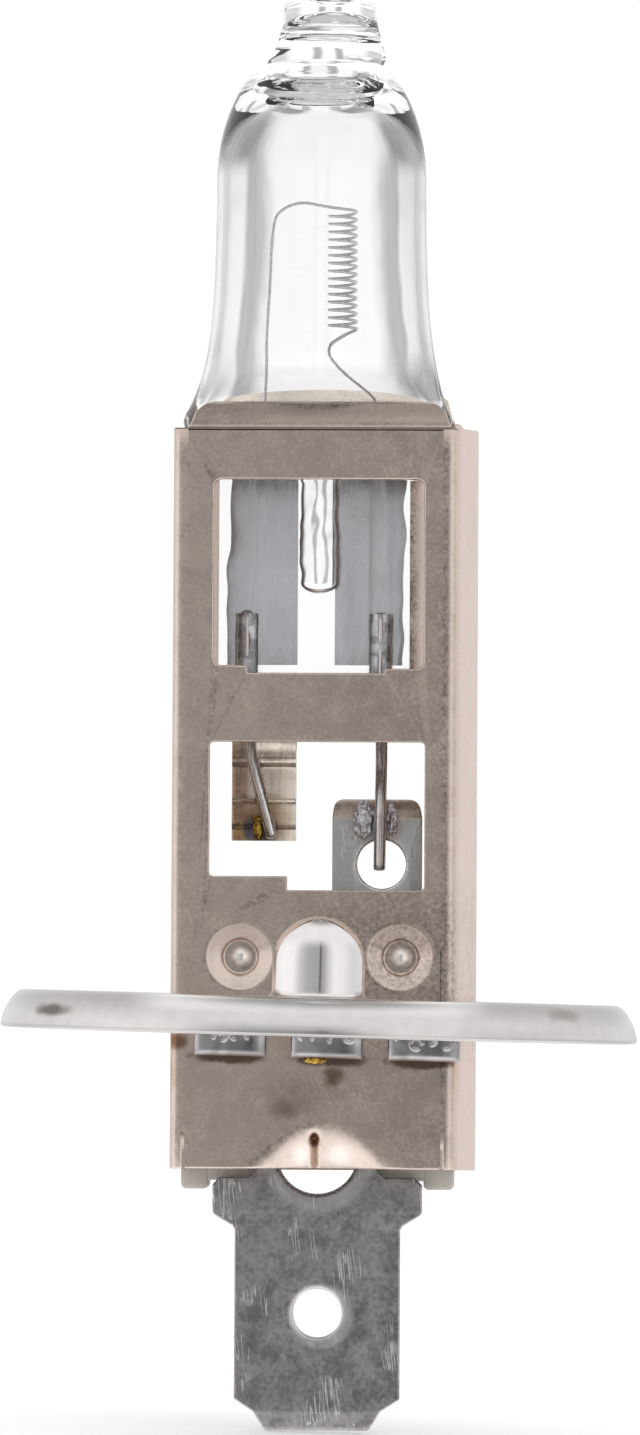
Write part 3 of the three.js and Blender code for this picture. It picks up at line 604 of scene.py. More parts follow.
def sleeve_material():
    """The nickel-plated sheet: mottled and scratched, with burns above the lugs; painted shade on its lower
    right, its lip, its crease, round the crimp and in the dimples; painted highlights on the rear crown,
    which also glows, on the crimp's lobes and on the dimples' middles.
    """
    look, colour, rough, fine, cloud = grained_metal(
        "nickel_sheet", (0.67, 0.565, 0.503), (0.53, 0.442, 0.39), 0.2, 6.5, 1.0, 0.4)
    # Painted shade: the lower front sheet darker towards its right, broken into mottles by noise.
    mottled_right_shade = look.times(look.ramp(look.axis("X"), -2.6, 1.6), look.ramp(look.axis("Z"), 5.5, 2.5))
    mottled_right_shade = look.times(mottled_right_shade, look.ramp(look.noise(5.5, 4, 0.75, 0.3), 0.38, 0.66, 0.05, 0.8))
    mottled_right_shade = look.times(mottled_right_shade, look.ramp(look.axis("Z"), -3.0, -0.5))
    colour = look.mix(mottled_right_shade, colour, (0.31, 0.255, 0.215))
    # Painted highlight: the top of the rear lip, where light comes down through the glass, made much lighter.
    crown = look.times(look.ramp(look.axis("Z"), 22.35, 22.6), look.ramp(look.axis("Y"), 1.5, 2.0))
    colour = look.tint(colour, (0.95, 0.87, 0.77), crown, 0.9)
    # Painted shade: the front lip, which leans in, darker towards its top.
    front_lip = look.ramp(look.axis("Y"), FRONT_Y + 0.6, FRONT_Y + 1.4, 1, 0)
    lip_top_shade = look.times(front_lip, look.ramp(look.axis("Z"), 21.65, 22.1, 0, 0.32))
    colour = look.mix(lip_top_shade, colour, (0.33, 0.275, 0.24))
    # Painted shade: a thin dark line along the crease where the front lip bends off the front sheet.
    lamp_z = look.math("SUBTRACT", look.axis("Z"), look.times(look.axis("X"), -math.tan(LEAN_TURN)))
    crease = look.ramp(look.math("ABSOLUTE", look.math("SUBTRACT", lamp_z, SLEEVE_TOP)), 0.03, 0.075, 1, 0)
    crease = look.times(crease, look.ramp(look.axis("Y"), FRONT_Y + 0.2, FRONT_Y + 0.35, 1, 0))
    colour = look.tint(colour, (0.1, 0.08, 0.07), crease, 0.85)
    marks = look.scratches(7, (0, math.radians(24), 0), 0.012, 0.56)
    marks = look.math("MAXIMUM", marks, look.scratches(9, (0, math.radians(-58), 0), 0.01, 0.6))
    colour = look.tint(colour, (0.72, 0.64, 0.58), marks, 0.35)
    specks = look.ramp(look.cells(2.2), 0.0, 0.06, 1, 0)
    colour = look.tint(colour, (0.24, 0.19, 0.16), specks, 0.4)
    shade_below = look.spot(lamp_point(-0.2, FRONT_Y, -3.6), (2.2, 1.4, 1.0), 0.1, 0.5)
    colour = look.tint(colour, (0.2, 0.15, 0.125), shade_below, 0.35)
    for x in LUGS:
        burn = look.spot((x + 0.05, FRONT_Y, LUG_BOTTOM - 0.02), (1.8, 0.9, 0.33), 0.5, 0.4, 1.9)
        colour = look.tint(colour, (0.12, 0.075, 0.055), burn, 0.92)
    # Painted highlights: two light patches on the crimp's lobes.
    for x, half in ((-0.42, 0.5), (1.0, 0.72)):
        crimp_highlight = look.spot(lamp_point(x, FRONT_Y + 0.3, -5.95), (half, 1.2, 0.75), 0.05, 0.15, 2.0)
        colour = look.tint(colour, (0.9, 0.87, 0.845), crimp_highlight, 0.5)
    # Painted shade: a dark grey-brown patch above the crimp.
    smudge_and_shade = look.spot(lamp_point(-1.0, FRONT_Y, -4.2), (0.95, 0.9, 0.62), 0.05, 0.4, 1.8)
    colour = look.tint(colour, (0.16, 0.115, 0.085), smudge_and_shade, 0.6)
    stain = look.spot((0.75, FRONT_Y, -2.95), (0.62, 0.9, 0.6), 0.2, 0.45, 2.2)
    colour = look.tint(colour, (0.15, 0.095, 0.06), stain, 0.85)
    for x, z, size in ((-5.3, -1.7, 0.75), (5.6, -2.6, 1.2), (-5.5, -3.0, 0.9)):
        warm = look.spot((x, -4.3, z), (0.6, 2.2, size), 0.2, 0.4, 1.5)
        colour = look.tint(colour, (0.5, 0.27, 0.17), warm, 0.6)
    corner = look.spot((-5.15, FRONT_Y + 0.2, -1.75), (0.6, 0.7, 0.42), 0.35, 0.4, 2.4)
    colour = look.tint(colour, (0.2, 0.11, 0.07), corner, 0.9)
    # Painted shade on each dimple's floor, and a painted highlight on its raised middle.
    for x, z in DIMPLES:
        seat = lamp_point(x, FRONT_Y + 0.45, z)
        dimple_shade = look.spot(seat, (0.72,) * 3, 0.75, 0.12)
        colour = look.tint(colour, (0.3, 0.25, 0.22), dimple_shade, 0.25)
        pip_highlight = look.spot(seat, (0.36,) * 3, 0.3, 0.1)
        colour = look.mix(pip_highlight, colour, (1.0, 0.97, 0.94))
    relief = look.bump(fine, 0.0008, 0.35)
    relief = look.bump(cloud, 0.005, 0.15, relief)
    relief = look.bump(marks, -0.003, 0.5, relief)
    look.shader.inputs["Specular Tint"].default_value = (0.96, 0.86, 0.81, 1)
    # Painted light: the rear lip crown's inner face glows a little in a warm colour, though it is no lamp.
    look.shader.inputs["Emission Color"].default_value = (1.0, 0.9, 0.77, 1)
    inner_face = look.ramp(look.axis("Y"), REAR_Y - 0.15, REAR_Y - 0.05, 0.16, 0)
    painted_glow = look.times(crown, inner_face)
    look.link(painted_glow, look.shader.inputs["Emission Strength"])
    return look.use(colour, rough, relief)


def tongue_material():
    """The tongue's sheet: brushed along its length, and burnt round the weld."""
    look, colour, rough, _, cloud = grained_metal(
        "tongue_sheet", (0.93, 0.82, 0.71), (0.8, 0.69, 0.59), 0.26, 7.0, 1.4, 0.35)
    brushed = look.noise(6, 3, 0.6, 0, look.stretched((1, 1, 0.08)))
    colour = look.mix(look.ramp(brushed, 0.42, 0.68, 0, 0.5), colour, (0.5, 0.42, 0.34))
    burn = look.spot(lamp_point(-2.15, 0.4, 6.75), (1.4, 1.6, 1.3), 0.3, 0.3, 1.6)
    colour = look.tint(colour, (0.3, 0.17, 0.07), burn, 0.85)
    core = look.spot(lamp_point(-2.2, 0.4, 6.4), (0.85, 1.4, 0.75), 0.35, 0.3, 2.2)
    colour = look.tint(colour, (0.07, 0.05, 0.04), core, 0.9)
    gold = look.spot(lamp_point(-3.0, 0.4, 6.3), (0.3, 1.2, 0.5), 0.3, 0.3, 2.4)
    colour = look.tint(colour, (0.8, 0.6, 0.2), gold, 0.5)
    blue = look.spot(lamp_point(-2.68, 0.4, 6.4), (0.3, 1.2, 0.55), 0.4, 0.3, 2.4)
    colour = look.tint(colour, (0.16, 0.18, 0.26), blue, 0.7)
    relief = look.bump(brushed, 0.003, 0.4)
    relief = look.bump(cloud, 0.01, 0.3, relief)
    return look.use(colour, rough, relief)


def terminal_material():
    """Grey tinned steel, rubbed bright round its holes and heat-tinted at the weld."""
    look, colour, rough, fine, _ = grained_metal(
        "tinned_steel", (0.42, 0.4, 0.415), (0.25, 0.235, 0.247), 0.26, 5.5, 1.3, 0.25)
    streaks = look.noise(3.2, 3, 0.65, 1.2, look.stretched((1, 1, 0.45), (0, 0.7, 0)))
    colour = look.mix(look.ramp(streaks, 0.5, 0.7, 0, 0.4), colour, (0.52, 0.5, 0.515))
    worn_side = look.spot(lamp_point(1.9, 0, -9.4), (1.5, 2.0, 2.4), 0.1, 0.5, 0.9)
    colour = look.tint(colour, (0.5, 0.485, 0.495), worn_side, 0.5)
    marks = look.scratches(5, (0, math.radians(8), 0), 0.018, 0.52)
    colour = look.tint(colour, (0.92, 0.9, 0.92), marks, 0.75)
    for (x, z, radius), shift, size in ((BLADE_HOLE, (0.12, -0.14), 0.5), (LOCK_HOLE, (0.1, -0.2), 0.75)):
        ring = look.spot(lamp_point(x + shift[0], 0, z + shift[1]), (radius + size,) * 3, 0.82, 0.05)
        colour = look.tint(colour, (0.72, 0.7, 0.71), ring, 0.55)
    pad = look.ramp(look.axis("Z"), 2.6, 3.4, 0, 0.75)
    colour = look.mix(pad, colour, (0.66, 0.66, 0.65))
    around = look.spot(lamp_point(PAD_HOLE[0], 0, PAD_HOLE[1]), (PAD_HOLE[2] + 0.35,) * 3, 0.78, 0.05)
    colour = look.tint(colour, (0.9, 0.9, 0.9), around, 0.5)
    tan = look.ramp(look.axis("Z"), PAD_BEND - 0.1, PAD_BEND + 0.15, 0, 0.8)
    colour = look.mix(tan, colour, (0.7, 0.6, 0.52))
    heat_at = lamp_point(2.2, -0.4, 6.6)
    halo = look.spot(heat_at, (1.25, 1.2, 1.05), 0.45, 0.3, 1.6)
    colour = look.tint(colour, (0.35, 0.215, 0.17), halo, 0.6)
    blue = look.spot(heat_at, (0.85, 1.0, 0.8), 0.5, 0.3, 2.0)
    colour = look.tint(colour, (0.2, 0.23, 0.3), blue, 0.6)
    relief = look.bump(fine, 0.003, 0.5)
    relief = look.bump(streaks, 0.008, 0.4, relief)
    relief = look.bump(marks, -0.006, 0.6, relief)
    return look.use(colour, rough, relief)


def flange_material():
    """Satin plating, with painted shade towards the sides, along the rim's foot and at the boss's feet, and a
    painted highlight across the middle of the rim's upper part.
    """
    look = Look("flange_plating", **METAL)
    satin = look.noise(1.4, 4, 0.55, 0.5)
    fine = look.noise(22, 2, 0.6)
    colour = look.mix(look.ramp(satin, 0.35, 0.7), (0.64, 0.62, 0.612), (0.69, 0.67, 0.662))
    sideways = look.math("ABSOLUTE", look.axis("X"))
    shaded = look.times(look.ramp(sideways, 4.8, 7.0), look.ramp(look.axis("Z"), -1.0, -0.12))
    shaded = look.math("MAXIMUM", shaded, look.ramp(sideways, 11.7, 12.15))
    colour = look.tint(colour, (0.32, 0.305, 0.298), shaded, 0.62)
    # Painted highlight: a lighter band across the middle of the rim's upper part.
    bright = look.times(look.ramp(sideways, 7.0, 4.8), look.ramp(look.axis("Z"), -0.7, -0.35))
    colour = look.tint(colour, (0.93, 0.905, 0.895), bright, 0.45)
    # Painted shade: a dark line along the rim's foot.
    rim_foot_shade = look.ramp(look.axis("Z"), -1.24, -1.36)
    colour = look.tint(colour, (0.34, 0.32, 0.315), rim_foot_shade, 0.5)
    for x, z, width, part in ((-9.75, -0.72, 1.3, 1.0), (9.3, -0.4, 1.0, 0.45)):
        smudge_and_shade = look.spot((x, -7.0, z), (width, 2.4, 0.34), 0.25, 0.3, 1.4)
        colour = look.tint(colour, (0.17, 0.15, 0.14), smudge_and_shade, part)
    # Painted shade: dark spots where the boss's sides meet the seat.
    for side in (-1, 1):
        foot = look.spot((BOSS_X + side * 1.55, FRONT_Y - 0.35, 0.12), (0.3, 0.5, 0.2), 0.3, 0.3, 3)
        colour = look.tint(colour, (0.2, 0.2, 0.19), foot, 0.5)
    marks = look.scratches(3.5, (math.radians(90), 0, 0), 0.012, 0.58)
    colour = look.tint(colour, (0.5, 0.48, 0.47), marks, 0.3)
    rough = look.ramp(look.plus(satin, look.times(fine, 0.4)), 0.4, 1.0, 0.15, 0.22)
    boss_part = look.ramp(look.axis("Z"), 0.1, 0.4, 1, 0.4)
    rough = look.times(rough, boss_part)
    relief = look.bump(fine, 0.0003, 0.2)
    relief = look.bump(marks, -0.001, 0.3, relief)
    return look.use(colour, rough, relief)


def lug_material():
    """Smooth stamped steel, scorched along its lower edge."""
    look = Look("stamped_lug", **METAL)
    wave = look.noise(1.1, 2, 0.5, 0.4)
    fine = look.noise(12, 2, 0.6)
    colour = look.mix(look.ramp(wave, 0.35, 0.65), (0.3, 0.29, 0.295), (0.44, 0.43, 0.435))
    low = look.spot((0.5, FRONT_Y - 0.3, LUG_BOTTOM), (7.0, 1.5, 0.22), 0.1, 0.5, 2.0)
    colour = look.tint(colour, (0.22, 0.16, 0.13), low, 0.6)
    rough = look.ramp(fine, 0.35, 0.7, 0.1, 0.18)
    relief = look.bump(fine, 0.0006, 0.3)
    return look.use(colour, rough, relief)


def head_material():
    """The leads' flattened heads, which the pinch grips."""
    look = Look("lead_head", **METAL)
    patch = look.noise(1.9, 3, 0.65, 0.6)
    streak = look.noise(7, 3, 0.6, 0, look.stretched((1, 1, 0.15)))
    colour = look.mix(look.ramp(patch, 0.38, 0.62), (0.34, 0.34, 0.355), (0.62, 0.62, 0.64))
    rough = look.ramp(streak, 0.35, 0.65, 0.18, 0.34)
    relief = look.bump(patch, 0.05, 0.35)
    return look.use(colour, rough, look.bump(streak, 0.006, 0.5, relief))


def lead_material():
    look = Look("drawn_wire", **METAL)
    streak = look.noise(9, 3, 0.6, 0, look.stretched((1, 1, 0.05)))
    patch = look.noise(2.0, 3, 0.6)
    colour = look.mix(look.ramp(streak, 0.4, 0.62), (0.6, 0.58, 0.575), (0.82, 0.8, 0.795))
    colour = look.mix(look.ramp(patch, 0.55, 0.75, 0, 0.5), colour, (0.52, 0.47, 0.44))
    rough = look.ramp(streak, 0.35, 0.65, 0.16, 0.3)
    relief = look.bump(streak, 0.01, 0.6)
    return look.use(colour, rough, relief)


def tungsten_material():
    look = Look("tungsten_wire", **METAL)
    streak = look.noise(14, 2, 0.6, 0.3)
    colour = look.mix(look.ramp(streak, 0.35, 0.65), (0.56, 0.545, 0.53), (0.78, 0.76, 0.745))
    rough = look.ramp(streak, 0.35, 0.65, 0.25, 0.45)
    return look.use(colour, rough, look.bump(streak, 0.003, 0.5))


def foil_material():
    look = Look("pinch_foil", **METAL)
    roll = look.noise(2.4, 3, 0.6, 0.2, look.stretched((1, 1, 0.12)))
    patch = look.noise(0.8, 3, 0.6, 0.8)
    colour = look.mix(look.ramp(roll, 0.35, 0.65), (0.47, 0.47, 0.495), (0.56, 0.56, 0.585))
    colour = look.mix(look.ramp(patch, 0.5, 0.8, 0, 0.3), colour, (0.4, 0.4, 0.425))
    rough = look.ramp(roll, 0.35, 0.65, 0.2, 0.32)
    relief = look.bump(roll, 0.006, 0.4)
    relief = look.bump(patch, 0.02, 0.25, relief)
    return look.use(colour, rough, relief)


def weld_material():
    look = Look("weld_crystals", **METAL)
    crystal = look.cells(5.5)
    facets = look.noise(6, 3, 0.7, 0.8)
    colour = look.mix(look.ramp(facets, 0.38, 0.62), (0.5, 0.485, 0.51), (0.9, 0.885, 0.93))
    tint = look.noise(2.6, 2, 0.5)
    colour = look.mix(look.ramp(tint, 0.52, 0.72, 0, 0.5), colour, (0.35, 0.22, 0.17))
    rough = look.ramp(crystal, 0, 0.7, 0.15, 0.4)
    relief = look.bump(crystal, 0.06, 0.8)
    relief = look.bump(facets, 0.03, 0.7, relief)
    return look.use(colour, rough, relief)


def flux_material():
    look = Look("amber_flux", Metallic=0.55, IOR=1.6)
    swirl = look.noise(5, 3, 0.6, 1.0)
    colour = look.mix(look.ramp(swirl, 0.4, 0.65), (0.16, 0.075, 0.015), (0.85, 0.55, 0.06))
    rough = look.ramp(swirl, 0.35, 0.65, 0.12, 0.35)
    return look.use(colour, rough, look.bump(swirl, 0.03, 0.7))


def ceramic_material():
    look = Look("steatite", IOR=1.52)
    grain = look.noise(9, 4, 0.65)
    stain = look.noise(0.9, 4, 0.6, 0.5)
    colour = look.mix(look.ramp(grain, 0.3, 0.7), (0.5, 0.46, 0.42), (0.6, 0.56, 0.52))
    colour = look.mix(look.ramp(stain, 0.5, 0.75, 0, 0.4), colour, (0.36, 0.31, 0.27))
    rough = look.ramp(grain, 0.3, 0.7, 0.5, 0.7)
    relief = look.bump(grain, 0.02, 0.5)
    return look.use(colour, rough, look.bump(stain, 0.04, 0.4, relief))


def quartz_material():
    """Clear quartz with faint drawn ripples."""
    look = Look("fused_quartz", IOR=1.458, Transmission_Weight=1.0)
    look.shader.inputs["Base Color"].default_value = (0.985, 0.985, 0.99, 1)
    flow = look.noise(0.55, 3, 0.55, 0.4, look.stretched((1, 1, 0.35)))
    ripple = look.noise(2.4, 2, 0.5, 0, look.stretched((1, 1, 0.3)))
    rough = look.ramp(ripple, 0.4, 0.9, 0.0, 0.006)
    relief = look.bump(flow, 0.02, 0.12)
    relief = look.bump(ripple, 0.002, 0.15, relief)
    return look.use(None, rough, relief)


SLEEVE_LOOK = sleeve_material()
TONGUE_LOOK = tongue_material()
TERMINAL_LOOK = terminal_material()
FLANGE_LOOK = flange_material()
LUG_LOOK = lug_material()
HEAD_LOOK = head_material()
LEAD_LOOK = lead_material()
TUNGSTEN_LOOK = tungsten_material()
FOIL_LOOK = foil_material()
WELD_LOOK = weld_material()
FLUX_LOOK = flux_material()
CERAMIC_LOOK = ceramic_material()
QUARTZ_LOOK = quartz_material()


# ---- glass ----


def ring(z, x, half_x, half_y, power, sides, rough=0.0, seed=0):
    """One cross-section, from an ellipse (power 2) to a rounded box, with a little unevenness."""
    points = []
    for i in range(sides):
        turn = 2 * math.pi * i / sides
        sin, cos = math.sin(turn), math.cos(turn)
        u = math.copysign(abs(sin) ** (2 / power), sin) * half_x
        v = -math.copysign(abs(cos) ** (2 / power), cos) * half_y
        swell = 1 + rough * (wobble((u, v, z), 0.55, seed) + 0.6 * wobble((u, v, z), 2.1, seed + 2))
        points.append((x + u * swell, v * swell, z))
    return points


def circle_ring(z, x, radius, sides, rough=0.0, seed=0):
    return ring(z, x, radius, radius, 2, sides, rough, seed)


def outer_ring(z, sides):
    dome = max(0, min(1, (z - DOME_START) / DOME_HEIGHT))
    round_part = GLASS_RADIUS * math.sqrt(1 - dome * dome)
    foot = smoothstep(z, 20.9, 24.6)
    flare = FLARE * math.exp(-(z - FLARE_Z) / 2.1)
    if z <= FLARE_Z:
        flare = lerp(0.4, FLARE, smoothstep(z, 20.3, FLARE_Z))
    half_x = round_part + flare - lerp(0.12, 0, smoothstep(z, 19.0, 22.0))
    half_y = lerp(PINCH_HALF_DEPTH, round_part + min(flare, 0.3) * 0.3, foot)
    power = lerp(2.9, 2, smoothstep(z, 20.4, 23.1))
    rough = lerp(0.005, 0.0006, smoothstep(z, 20.0, 23.0)) + 0.0015 * smoothstep(z, 33.0, 34.5)
    return ring(z, lerp(PINCH_X, 0, foot), half_x, half_y, power, sides, rough)


def cavity_ring(z, sides):
    lift = max(0, min(1, (z - DOME_START) / 3.6))
    round_part = (GLASS_RADIUS - WALL) * (1 - lift ** CAVITY_POWER) ** (1 / CAVITY_POWER)
    flare = 1.05 * math.exp(-(max(z, FLARE_Z) - FLARE_Z) / 2.1)
    half_x = lerp(CHANNEL_HALF, round_part + flare, smoothstep(z, 19.6, 22.6))
    outer_y = lerp(PINCH_HALF_DEPTH, round_part + WALL, smoothstep(z, 20.9, 24.6))
    half_y = max(0.3, outer_y - lerp(1.0, WALL, smoothstep(z, 20.5, 23.0)))
    rough = lerp(0.16, 0.001, smoothstep(z, 19.0, 22.5)) + 0.0015 * smoothstep(z, 33.0, 34.3)
    return ring(z, lerp(CHANNEL_X, 0, smoothstep(z, 21.4, 24.9)), half_x, half_y, 2, sides, rough, 3)


def spread(low, high, count):
    return [lerp(low, high, i / (count - 1)) for i in range(count)]


def outer_glass():
    """The outside, from the broken tip of the stub down over the dome to the end of the pinch."""
    sides = 128
    rows = [circle_ring(37.82, STUB_X + 0.05, 0.02, sides)]
    for z, half, rough in ((37.86, 0.9, 0.01), (37.93, 1.5, 0.015), (GLASS_TIP - 0.02, 1.7, 0.02)):
        rows.append(circle_ring(z, STUB_X, half, sides, rough, 5))
    for z, half in ((37.94, 1.755), (37.8, 1.77), (37.5, 1.79), (37.2, 1.84), (36.9, 1.92), (36.6, 2.0),
                    (36.35, 2.09), (36.1, 2.18), (35.92, 2.25), (35.78, 2.24), (35.66, 2.22)):
        rows.append(circle_ring(z, lerp(0, STUB_X, smoothstep(z, 35.2, 36.4)), half, sides, 0.008, 5))
    dome_levels = [35.55, 35.42, 35.25, 35.05, 34.8, 34.5, 34.2, 33.8, 33.4, 33.0, 32.5, 32.0, 31.6]
    for z in [*dome_levels, *spread(31.2, 20.0, 46), *spread(19.6, PINCH_BOTTOM + 0.15, 14)]:
        rows.append(outer_ring(z, sides))
    rows.append([(x * 0.97, y * 0.93, PINCH_BOTTOM) for x, y, _ in outer_ring(PINCH_BOTTOM, sides)])
    rows.append([(x * 0.01, y * 0.01, PINCH_BOTTOM) for x, y, _ in rows[-1]])
    body = Body()
    body.rows(rows)
    return body


def main_hollow():
    """The filament's room: a dome that rises into the old filling tube, and a narrow slot that
    runs down between the foils."""
    sides = 96
    slot_end = 15.9
    rows = []
    for sin, cos in quarter_turns(6):
        rows.append(circle_ring(35.25 + 0.5 * cos, -0.06, 1.42 * sin + 0.002, sides, 0.01, 8))
    for z, x, half in ((34.9, -0.04, 1.43), (34.62, -0.02, 1.52)):
        rows.append(circle_ring(z, x, half, sides, 0.01, 8))
    dome_levels = [34.5, 34.35, 34.1, 33.8, 33.4, 32.9, 32.4, 31.9, 31.5]
    for z in [*dome_levels, *spread(31.2, 19.6, 48), *spread(19.3, slot_end, 22)]:
        rows.append(cavity_ring(z, sides))
    for part in spread(0.2, 1.0, 6):
        turn = math.pi / 2 * part
        shrink = math.cos(turn) + 0.002
        z = slot_end - 0.5 * math.sin(turn)
        rows.append(ring(z, CHANNEL_X, CHANNEL_HALF * shrink, 0.3 * shrink, 2, sides, 0.16, 3))
    body = Body()
    body.rows(rows)
    return body


def tip_bubble():
    """The bubble that the stub's molten glass closed round."""
    profile = [
        (0.01, 36.3), (0.7, 36.3), (1.15, 36.34), (1.36, 36.45), (1.44, 36.62), (1.46, 36.8), (1.4, 37.0),
        (1.27, 37.2), (1.07, 37.38), (0.8, 37.52), (0.45, 37.61), (0.01, 37.64),
    ]
    line = smooth_line([(radius, z, 0) for radius, z in profile], 3)
    body = Body()
    body.rows([circle_ring(p.y, 0.4, max(p.x, 0.01), 64, 0.01, 11) for p in line])
    return body


def glass():
    body = outer_glass().outward()
    for hollow in (main_hollow(), tip_bubble()):
        body.add(hollow.outward(inside_out=True))
    body.finish("quartz_capsule", "glass_envelope", "quartz", QUARTZ_LOOK, sharp=60)


# ---- filament, foils and leads ----


def filament():
    """One wire: the upper leg, the coil and the lower leg."""
    upper = [
        (-2.2, 0.18, 21.2), (-2.16, 0.1, 22.2), (-2.1, 0, 24), (-1.96, 0, 27), (-1.84, 0, 29.4),
        (-1.6, 0, 30.02), (-0.85, -0.1, 30.36), (0.2, -0.4, 30.2),
    ]
    coil = []
    steps = 12
    for i in range(int(COIL_TURNS * steps) + 1):
        turn = 2 * math.pi * i / steps
        x = COIL_X + COIL_RADIUS * math.sin(turn)
        coil.append((x, -COIL_RADIUS * math.cos(turn), COIL_TOP - COIL_PITCH * i / steps))
    lower = [
        (0.75, 0.45, 25.25), (0.29, 0.15, 24.9), (0.7, 0, 24.3), (2.07, 0, 22.9), (2.12, 0.1, 22.1),
        (2.12, 0.18, 21.2),
    ]
    line = smooth_line([*upper, *coil, *lower], 4)
    tube(line, WIRE, 10).finish("coil_wire", "filament", "tungsten", TUNGSTEN_LOOK)


def foil(side, x):
    """Thin rolled foil with a faint lengthwise crease and feathered edges."""
    body = Body()
    across = [-FOIL_HALF, -1.33, -1.2, -0.9, -0.5, -0.1, -0.04, 0.05, 0.4, 0.9, 1.2, 1.33, FOIL_HALF]
    for sign in (1, -1):
        rows = []
        for z in spread(12.68, 21.9, 48):
            row = []
            for u in across:
                thick = 0.028 * (1 - (abs(u) / 1.36) ** 6)
                crease = 0.03 * smoothstep(u, -0.12, 0.1)
                ripple = 0.02 * wobble((u * 0.7, 0, z * 0.5), 1, x)
                outside = smoothstep(u * math.copysign(1, x), 0.9, 1.33)
                edge = -math.copysign(0.18 + 0.22 * wobble((0, 0, z), 0.75, x + 2), u) * outside
                row.append((x + u + edge, 0.31 + crease + ripple - sign * thick, z))
            rows.append(row)
        body.rows(rows, closed=False)
    body.outward()
    body.finish(f"foil_{side}_strip", f"foil_{side}", "foil_metal", FOIL_LOOK, sharp=60)


def leads():
    """Both outer leads, each with a flattened head in the pinch."""
    left_x, right_x = LEAD_X
    left = [(left_x, 0, LEAD_TOP), (left_x, 0, 12.5), (left_x, 0, 10.9), (-2.62, 0, 9.5), (-1.79, 0, 6.2)]
    right = [
        (right_x, 0, LEAD_TOP), (right_x, 0, 11.6), (2.4, -0.12, 9.8), (2.39, -0.66, 7.4), (2.36, -0.7, 4.9),
    ]
    head_half = 0.41
    for side, x, points, rounding in (("left", left_x, left, 0.7), ("right", right_x, right, 0.35)):
        wire = tube(smooth_line(points, 14), LEAD, 28, rounding)
        wire.finish(f"lead_{side}_wire", f"lead_{side}", "lead_wire", LEAD_LOOK)
        path = []
        widths = []
        for z in spread(12.2, LEAD_TOP + 0.02, 12):
            path.append((0.05 * wobble((0, 0, z), 1.2, x), z))
            left_edge = x - head_half + 0.04 * wobble((z, 0, 0), 1.5)
            right_edge = x + head_half + 0.04 * wobble((0, z, 0), 1.5)
            widths.append((left_edge, right_edge))
        head = strip(path, widths, 0.44, 0.12).outward()
        head.finish(f"lead_{side}_head", f"lead_{side}", "lead_wire", HEAD_LOOK)


def nugget(centre, radii, lumps, seed):
    """A lumpy blob of fused metal."""
    body = Body()
    rows = []
    sides = 40
    for tilt in spread(0.03, math.pi - 0.03, 24):
        row = []
        for i in range(sides):
            turn = 2 * math.pi * i / sides
            level = math.sin(tilt)
            way = Vector((level * math.sin(turn), -level * math.cos(turn), math.cos(tilt)))
            swell = 1 + lumps * wobble(way, 2.1, seed) + lumps * 0.5 * wobble(way, 5.0, seed + 1)
            row.append(tuple(c + d * r * swell for c, d, r in zip(centre, way, radii)))
        rows.append(row)
    body.rows(rows)
    return body.outward()


def welds():
    """The nugget beside the left lead, and the two on either side of the right one."""
    left = nugget((-2.33, 0.14, 6.5), (0.18, 0.13, 0.44), 0.25, 2)
    left.finish("weld_left_blob", "weld_tongue", "weld_metal", FLUX_LOOK)
    blob = nugget((1.74, -0.52, 6.75), (0.38, 0.17, 0.66), 0.28, 5)
    blob.add(nugget((2.84, -0.46, 6.75), (0.2, 0.1, 0.58), 0.3, 9))
    blob.finish("weld_right_blob", "weld_terminal", "weld_metal", WELD_LOOK)


# ---- sleeve ----


def side_wall_x(side, y):
    rear = REAR_X + side * REAR_HALF
    return lerp(side * FRONT_HALF, rear, (y - FRONT_Y) / (REAR_Y - FRONT_Y))


def bend_pairs(flat_x, side, wall_y, inward, steps, power=1.0):
    """A bend from a wall into its side, seen from above: pairs of outer and inner points. A power
    under 1 makes the outside squarer than an arc."""
    inner_bend = BEND - SHEET
    pairs = []
    for sin, cos in quarter_turns(steps):
        outer_y = wall_y + inward * BEND * (1 - abs(cos) ** power)
        outer = (flat_x + side * BEND * sin ** power, outer_y)
        inner = (flat_x + side * inner_bend * sin, wall_y + inward * (BEND - inner_bend * cos))
        pairs.append((outer, inner))
    return pairs


def wall_pairs(side):
    """The front sheet's bend and side wall, seen from above."""
    pairs = bend_pairs(side * FLAT_HALF, side, FRONT_Y, 1, 12, SQUARE_BEND)
    for y in spread(FRONT_Y + BEND + 0.4, REAR_Y - 0.04, 12):
        x = side_wall_x(side, y)
        pairs.append(((x, y), (x - side * SHEET, y)))
    x = side_wall_x(side, REAR_Y)
    pairs.append(((x - side * EDGE, REAR_Y), (x - side * (SHEET - EDGE), REAR_Y)))
    return pairs


def side_edges(pairs):
    """The heights of a side wall's lower and upper edge at each pair of its plan."""
    parts = [(outer[1] - FRONT_Y) / (REAR_Y - FRONT_Y) for outer, _ in pairs]
    lows = [lerp(SLEEVE_BOTTOM, REAR_BOTTOM, part) for part in parts]
    highs = [lerp(SLEEVE_TOP, SIDE_REAR_TOP, part) for part in parts]
    return lows, highs


def join_rims(body, a, b):
    """Closes the gap between two open grids of rows, all the way round."""
    for k in (0, -1):
        body.bridge(a[k], b[k], closed=False)
        body.bridge([row[k] for row in a], [row[k] for row in b], closed=False)


